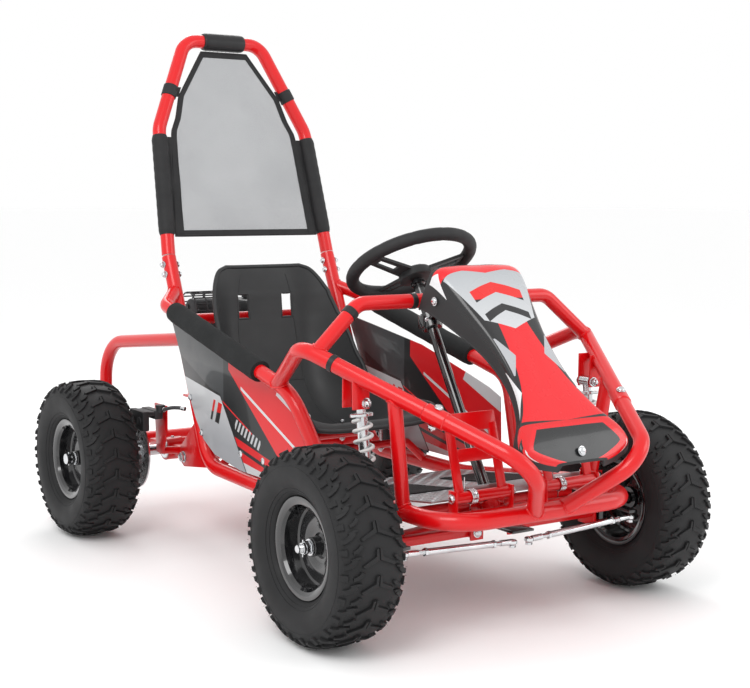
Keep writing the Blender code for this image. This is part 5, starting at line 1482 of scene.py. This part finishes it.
# ---------------------------------------------------------------------------
# Brake disc and axle sprocket: laser-cut steel plates bolted to turned hubs keyed on the axle.
shape = bmesh.new()
disc = [(-0.0019, 0.0848), (-0.0019, 0.034), (-0.0140, 0.034), (-0.0140, 0.0130), (0.0140, 0.0130), (0.0140,
    0.026),
        (0.0019, 0.026), (0.0019, 0.0848)]
spun(shape, disc, (-0.285, 0.495, 0.180), steps=72)
for i in range(6):
    a = math.tau * i / 6
    spot = Vector((-0.285, 0.495 + 0.0285 * math.cos(a), 0.180 + 0.0285 * math.sin(a)))
    lathe(shape, [(0, 0.0042), (0.0030, 0.0038)], spot + Vector((-0.0140, 0, 0)), (-1, 0, 0), 16)
for i in range(18):
    a = math.tau * i / 18
    spot = Vector((-0.285, 0.495 + 0.060 * math.cos(a), 0.180 + 0.060 * math.sin(a)))
    lathe(shape, [(-0.0021, 0.0042), (0.0021, 0.0042)], spot, (1, 0, 0), 14, paint=1)
finished("disc_plate", shape, "rear_axle", "bright_zinc", zinc, gloss_black, replaces=["brake_disc"])


def toothed(shape, centre, radius, teeth, half, bore_r):
    """A chain wheel's plate, its teeth standing along x."""
    outline = []
    for i in range(teeth):
        for share, height in ((-0.34, -0.0030), (-0.12, 0.0), (0.12, 0.0), (0.34, -0.0030)):
            a = math.tau * (i + share) / teeth
            outline.append((a, radius + height))
    rings = []
    for x, lift in ((-half, 1), (half, 1), (half, 0), (-half, 0)):
        rings.append([
            shape.verts.new(Vector(centre) + Vector((x, (r if lift else bore_r) * math.cos(a),
            (r if lift else bore_r) * math.sin(a))))
            for a, r in outline
        ])
    for low, high in zip(rings, rings[1:] + rings[:1]):
        for a, b, c, d in zip(low, low[1:] + low[:1], high[1:] + high[:1], high):
            shape.faces.new((a, b, c, d))


CHAIN_X, DRIVE_Y, DRIVE_Z = 0.118, 0.560, 0.365
shape = bmesh.new()
toothed(shape, (CHAIN_X, 0.495, 0.180), 0.0628, 49, 0.0018, 0.0230)
hub_ring = [(-0.0119, 0.030), (-0.0119, 0.0130), (0.0019, 0.0130), (0.0019, 0.030)]
spun(shape, hub_ring, (CHAIN_X, 0.495, 0.180), steps=40)
for i in range(4):
    a = math.tau * i / 4 + 0.4
    spot = Vector((CHAIN_X + 0.0019, 0.495 + 0.0225 * math.cos(a), 0.180 + 0.0225 * math.sin(a)))
    lathe(shape, [(0, 0.0044), (0.0030, 0.0040)], spot, (1, 0, 0), 16)
finished("sprocket_plate", shape, "rear_axle", "black_gloss_steel", gloss_black, replaces=["axle_sprocket"])
cast = Finish("cast_engine", (0.035, 0.035, 0.037), 0.5, 0.5)
cast.give({"Roughness": 0.42 + cast.noise(120, 4.0) * 0.25})
cast.give({"Base Color": cast.mixed(cast.noise(30, 3.0), (0.022, 0.022, 0.024), (0.050, 0.050, 0.052))})
cast.bump(cast.noise(800, 3.0), 0.0004, 0.4)
shape = bmesh.new()
toothed(shape, (CHAIN_X, DRIVE_Y, DRIVE_Z), 0.0262, 20, 0.0018, 0.0100)
drum = [(-0.0078, 0.0100), (-0.0078, 0.0225), (-0.0070, 0.0235), (-0.0030, 0.0235), (-0.0030, 0.0100)]
spun(shape, drum, (CHAIN_X, DRIVE_Y, DRIVE_Z), steps=36)
lathe(shape, [(0, 0.0088), (0.0460, 0.0088), (0.0530, 0.0088), (0.0535, 0.0070)], (CHAIN_X - 0.046, DRIVE_Y,
    DRIVE_Z), (1, 0, 0), 28)
finished("clutch_drum", shape, "swing_arm", "cast_engine", cast, replaces=["drive_clutch"])

# ---------------------------------------------------------------------------
# Chain: a roller chain of 8 mm pitch, its plates pressed on pins, in one closed run.
shape = bmesh.new()
spread = Vector((0, DRIVE_Y - 0.495, DRIVE_Z - 0.180))
heading = math.atan2(spread.z, spread.y)
big, small = 0.0655, 0.0295
lean = math.acos((big - small) / spread.length)
loop = []
for centre, radius, first, last, steps in (
    ((0.495, 0.180), big, heading + lean, heading + math.tau - lean, 60),
    ((DRIVE_Y, DRIVE_Z), small, heading - lean, heading + lean, 24),
):
    for i in range(steps + 1):
        a = first + (last - first) * i / steps
        loop.append(Vector((CHAIN_X, centre[0] + radius * math.cos(a), centre[1] + radius * math.sin(a))))
loop.append(loop[0])
total = sum((b - a).length for a, b in zip(loop, loop[1:]))
links = round(total / 0.008 / 2) * 2
pins, reach, target = [], 0.0, 0.0
for a, b in zip(loop, loop[1:]):
    run = (b - a).length
    while target <= reach + run and len(pins) < links:
        pins.append(a.lerp(b, (target - reach) / run))
        target += total / links
    reach += run
for i, (a, b) in enumerate(zip(pins, pins[1:] + pins[:1])):
    out = 0.0036 if i % 2 else 0.0026
    run = (b - a).normalized()
    over = Vector((1, 0, 0)).cross(run)
    for side in (1, -1):
        face = [a + run * x + over * w for x, w in ((-0.003, 0), (-0.0015, 0.003), (0.004, 0.0022))]
        face += [b + run * x + over * w for x, w in ((0.0015, 0.003), (0.003, 0), (0.0015, -0.003))]
        face += [a + run * x + over * w for x, w in ((0.004, -0.0022), (-0.0015, -0.003))]
        low = [shape.verts.new(p + Vector((side * out, 0, 0))) for p in face]
        high = [shape.verts.new(p + Vector((side * (out + 0.0009), 0, 0))) for p in face]
        shape.faces.new(high)
        shape.faces.new(list(reversed(low)))
        for p, q, r, s in zip(low, low[1:] + low[:1], high[1:] + high[:1], high):
            shape.faces.new((p, q, r, s))
    rod(shape, a - Vector((0.0049, 0, 0)), a + Vector((0.0049, 0, 0)), 0.0015, 8)
    rod(shape, a - Vector((0.0022, 0, 0)), a + Vector((0.0022, 0, 0)), 0.0024, 10)
finished("roller_chain", shape, "swing_arm", "bright_zinc", zinc, replaces=["chain"])

# ---------------------------------------------------------------------------
# Brake caliper: a black cast body in two halves over the disc, with a fluid reservoir and bolts.
shape = bmesh.new()
block(shape, (0.0175, 0.074, 0.046), (-0.3002, 0.432, 0.268), bevel=0.003)
block(shape, (0.0210, 0.074, 0.020), (-0.2680, 0.432, 0.281), bevel=0.002)
block(shape, (0.0490, 0.068, 0.010), (-0.2832, 0.430, 0.2845), bevel=0.002)
lathe(shape, [(0, 0.0100), (0.0120, 0.0100), (0.0130, 0.0112), (0.0165, 0.0112), (0.0178, 0.0100)], (-0.262,
    0.400, 0.286), (0, 0, 1), 30)
for y in (0.412, 0.452):
    lathe(shape, [(0, 0.0095), (0.0030, 0.0090), (0.0040, 0.0060)], (-0.3089, y, 0.268), (-1, 0, 0), 26)
finished("caliper_casting", shape, "swing_arm", "black_gloss_steel", cast, replaces=["brake_caliper"])

# ---------------------------------------------------------------------------
# Brake hose: a rubber hose with a braided cover, crimped into zinc-plated ends.
braid = Finish("braided_hose", (0.02, 0.02, 0.021), 0.5, Specular_IOR_Level=0.4)
x, y, z = braid.axes()
strands = (y * 3000 + x * 3000).sine() * (y * 3000 - z * 3000).sine()
braid.give({"Base Color": braid.mixed(strands > 0.35, (0.012, 0.012, 0.013), (0.16, 0.16, 0.17))})
braid.give({"Roughness": 0.4 + braid.noise(200, 2.0) * 0.25})
braid.bump(strands, 0.0006, 0.6)
route = flowing([(-0.262, 0.3885, 0.292), (-0.262, 0.370, 0.298), (-0.258, 0.345, 0.304), (-0.250, 0.322,
    0.306),
                 (-0.244, 0.308, 0.305)], 8)
shape = bmesh.new()
sweep(shape, route, 0.0043, 14)
hose = finished("hose_run", shape, "swing_arm", "hose_rubber", braid, replaces=["brake_hose"])
shape = bmesh.new()
for start, way in ((route[0], route[1] - route[0]), (route[-1], route[-2] - route[-1])):
    crimp = [(0, 0.0048), (0.0010, 0.0052), (0.0030, 0.0049), (0.0050, 0.0052), (0.0075, 0.0049), (0.0100,
        0.0052), (0.0110, 0.0047)]
    lathe(shape, crimp, start, way, 20)
finished("hose_ends", shape, "swing_arm", "bright_zinc", zinc)
hose_length = sum((b - a).length for a, b in zip(route, route[1:]))

# ---------------------------------------------------------------------------
# Engine: a cast aluminium crankcase painted black, with a finned barrel, a side cover, bolts and a
# spark plug.
shape = bmesh.new()
block(shape, (0.120, 0.120, 0.074), (0, 0.562, 0.324), bevel=0.006)
block(shape, (0.0016, 0.100, 0.050), (-0.0602, 0.562, 0.324), bevel=0.0004)
for i in range(5):
    block(shape, (0.006, 0.0022, 0.060), (-0.048 + 0.024 * i, 0.6222, 0.324), bevel=0.0008)
fins = [(0, 0.033)]
for i in range(9):
    low = 0.0125 + 0.0078 * i
    fins += [(low, 0.033), (low + 0.0008, 0.0460), (low + 0.0024, 0.0460), (low + 0.0032, 0.033)]
fins += [(0.0800, 0.034), (0.0840, 0.031)]
lathe(shape, fins, (-0.012, 0.562, 0.352), (0, 0, 1), 44)
lathe(shape, [(0, 0.030), (0.0180, 0.030), (0.0195, 0.028)], (0.052, DRIVE_Y, DRIVE_Z), (1, 0, 0), 40)
for i in range(6):
    a = math.tau * i / 6
    spot = Vector((0.0697, DRIVE_Y + 0.0245 * math.cos(a), DRIVE_Z + 0.0245 * math.sin(a)))
    lathe(shape, [(0, 0.0032), (0.0018, 0.0028)], spot, (1, 0, 0), 14)
finished("engine_casting", shape, "swing_arm", "cast_engine", cast, replaces=["engine_block"])
shape = bmesh.new()
for x, y in ((-0.044, 0.594), (0.020, 0.594), (-0.044, 0.530), (0.020, 0.530)):
    nut(shape, (x * 0.62 - 0.0045, 0.562 + (y - 0.562) * 0.62, 0.4380), (0, 0, 1), 0.0055, 0.0040)
for side in (1, -1):
    for y in (0.515, 0.609):
        nut(shape, (side * 0.066, y, 0.2885), (0, 0, 1), 0.0065, 0.0050)
finished("engine_bolts", shape, "swing_arm", "bright_zinc", zinc)

# ---------------------------------------------------------------------------
# Recoil starter: a ribbed black cover on the engine's right side, with its pull handle.
shape = bmesh.new()
cup = [(0, 0.0640), (0.0100, 0.0640), (0.0130, 0.0585), (0.0180, 0.0575), (0.0220, 0.0460), (0.0280, 0.0420),
    (0.0296, 0.0300),
       (0.0296, 0.0165), (0.0240, 0.0160), (0.0240, 0.0001)]
lathe(shape, cup, (-0.0607, 0.562, 0.350), (-1, 0, 0), 60)
for i in range(26):
    a = math.tau * i / 26
    way = Vector((0, math.cos(a), math.sin(a)))
    start = Vector((-0.0800, 0.562, 0.350))
    rod(shape, start + way * 0.0460 + Vector((0.001, 0, 0)), start + way * 0.0560 + Vector((0.0015, 0, 0)),
        0.0017, 8)
    rod(shape, start + way * 0.0622 + Vector((0.008, 0, 0)), start + way * 0.0622 + Vector((0.0185, 0, 0)),
        0.0018, 8)
bar(shape, (-0.0730, 0.5150, 0.4020), (-0.0730, 0.5450, 0.4080), 0.012, 0.009, bevel=0.003)
finished("starter_cover", shape, "swing_arm", "moulded_plastic", plastic, replaces=["recoil_starter"])

# ---------------------------------------------------------------------------
# Fuel tank: a blow-moulded black tank with a screw cap.
shape = bmesh.new()
block(shape, (0.066, 0.116, 0.078), (0.062, 0.562, 0.490), bevel=0.010)
block(shape, (0.0650, 0.1150, 0.0022), (0.062, 0.562, 0.490), bevel=0.0005)
lathe(shape, [(0, 0.0140), (0.0030, 0.0140), (0.0035, 0.0180), (0.0135, 0.0178), (0.0148, 0.0160)], (0.062,
    0.562, 0.528), (0, 0, 1), 36)
for i in range(18):
    a = math.tau * i / 18
    spot = Vector((0.062 + 0.0172 * math.cos(a), 0.562 + 0.0172 * math.sin(a), 0.5325))
    rod(shape, spot, spot + Vector((0, 0, 0.008)), 0.0009, 6)
finished("tank_moulding", shape, "swing_arm", "moulded_plastic", plastic, replaces=["fuel_tank"])

# ---------------------------------------------------------------------------
# Muffler: a seamed black steel can on its pipe, under a half-round wire guard.
shape = bmesh.new()
can = [(0, 0.0250), (0.0020, 0.0290), (0.0040, 0.0302), (0.0065, 0.0302), (0.0080, 0.0290), (0.1060, 0.0290),
    (0.1075, 0.0302),
       (0.1100, 0.0302), (0.1120, 0.0290), (0.1140, 0.0250)]
lathe(shape, can, (-0.104, 0.560, 0.504), (1, 0, 0), 44)
rod(shape, (-0.036, 0.560, 0.4365), (-0.036, 0.560, 0.500), 0.0098, 24)
lathe(shape, [(0, 0.0085), (0.0040, 0.0085), (0.0040, 0.0070)], (-0.1035, 0.572, 0.512), (-1, 0, 0), 24)
for x in (-0.108, -0.078, -0.049, -0.020, 0.010):
    hoop = [(x, 0.560 + 0.0462 * math.cos(a),
        0.504 + 0.0462 * math.sin(a)) for a in [math.pi * (-0.10 + 1.2 * k / 28) for k in range(29)]]
    sweep(shape, hoop, 0.0017, 8)
for k in range(9):
    a = math.pi * (0.02 + 0.12 * k)
    spot = Vector((0, 0.560 + 0.0462 * math.cos(a), 0.504 + 0.0462 * math.sin(a)))
    rod(shape, spot + Vector((-0.1095, 0, 0)), spot + Vector((0.0115, 0, 0)), 0.0017, 8)
for x in (-0.100, 0.002):
    block(shape, (0.004, 0.092, 0.006), (x, 0.560, 0.508), bevel=0.001)
finished("muffler_and_guard", shape, "swing_arm", "cast_engine", cast, replaces=["muffler"])

# ---------------------------------------------------------------------------
# Pedals: pivot tubes with two arms and two slotted plates, red powder coated; each has a wound
# return spring and turns on a zinc-plated bolt in the frame's brackets.
for name, side in (("brake_pedal", 1), ("throttle_pedal", -1)):
    pivot = Vector((side * 0.105, -0.605, 0.260))
    rise = Vector((0, 0.285, 0.958))
    shape = bmesh.new()
    rod(shape, pivot - Vector((0.061, 0, 0)), pivot + Vector((0.061, 0, 0)), 0.0105)
    tilt = Matrix.Rotation(-math.atan2(rise.y, rise.z), 3, "X")
    for reach in (-1, 1):
        start = pivot + Vector((reach * 0.049, 0, 0))
        bar(shape, start, start + rise * 0.130, 0.018, 0.006, bevel=0.0012)
    for share, height in ((0.90, 0.034), (0.50, 0.024)):
        spot = pivot + rise * 0.150 * share
        block(shape, (0.116, 0.005, height), spot, tilt, bevel=0.0015)
        for x in range(-4, 5):
            for row in (-1, 1):
                stud = spot + Vector((x * 0.012, 0, 0)) + rise * row * height * 0.22
                lathe(shape, [(0, 0.0024), (0.0012, 0.0018)], stud + Vector((0, 0.0022, 0)), (0, 1, -0.3), 10)
    finished(f"{name}_weldment", shape, name, "red_powder_coat", red, replaces=[name])
    shape = bmesh.new()
    coils = []
    for i in range(0, 20 * 5 + 1):
        a = math.tau * i / 20
        coils.append(pivot + Vector((-0.030 + 0.0028 * i / 20, 0.0128 * math.cos(a),
            0.0128 * math.sin(a))))
    coils = [pivot + Vector((-0.030, 0.0128, 0.034))] + coils + [pivot + Vector((-0.0158, 0.0128, -0.030))]
    sweep(shape, coils, 0.0012, 8)
    finished(f"{name}_spring", shape, name, "bright_zinc", zinc)
    shape = bmesh.new()
    bolt(shape, pivot - Vector((0.0667, 0, 0)), pivot + Vector((0.0667, 0, 0)), 0.0045)
    finished(f"{name}_bolt", shape, "chassis", "bright_zinc", zinc)
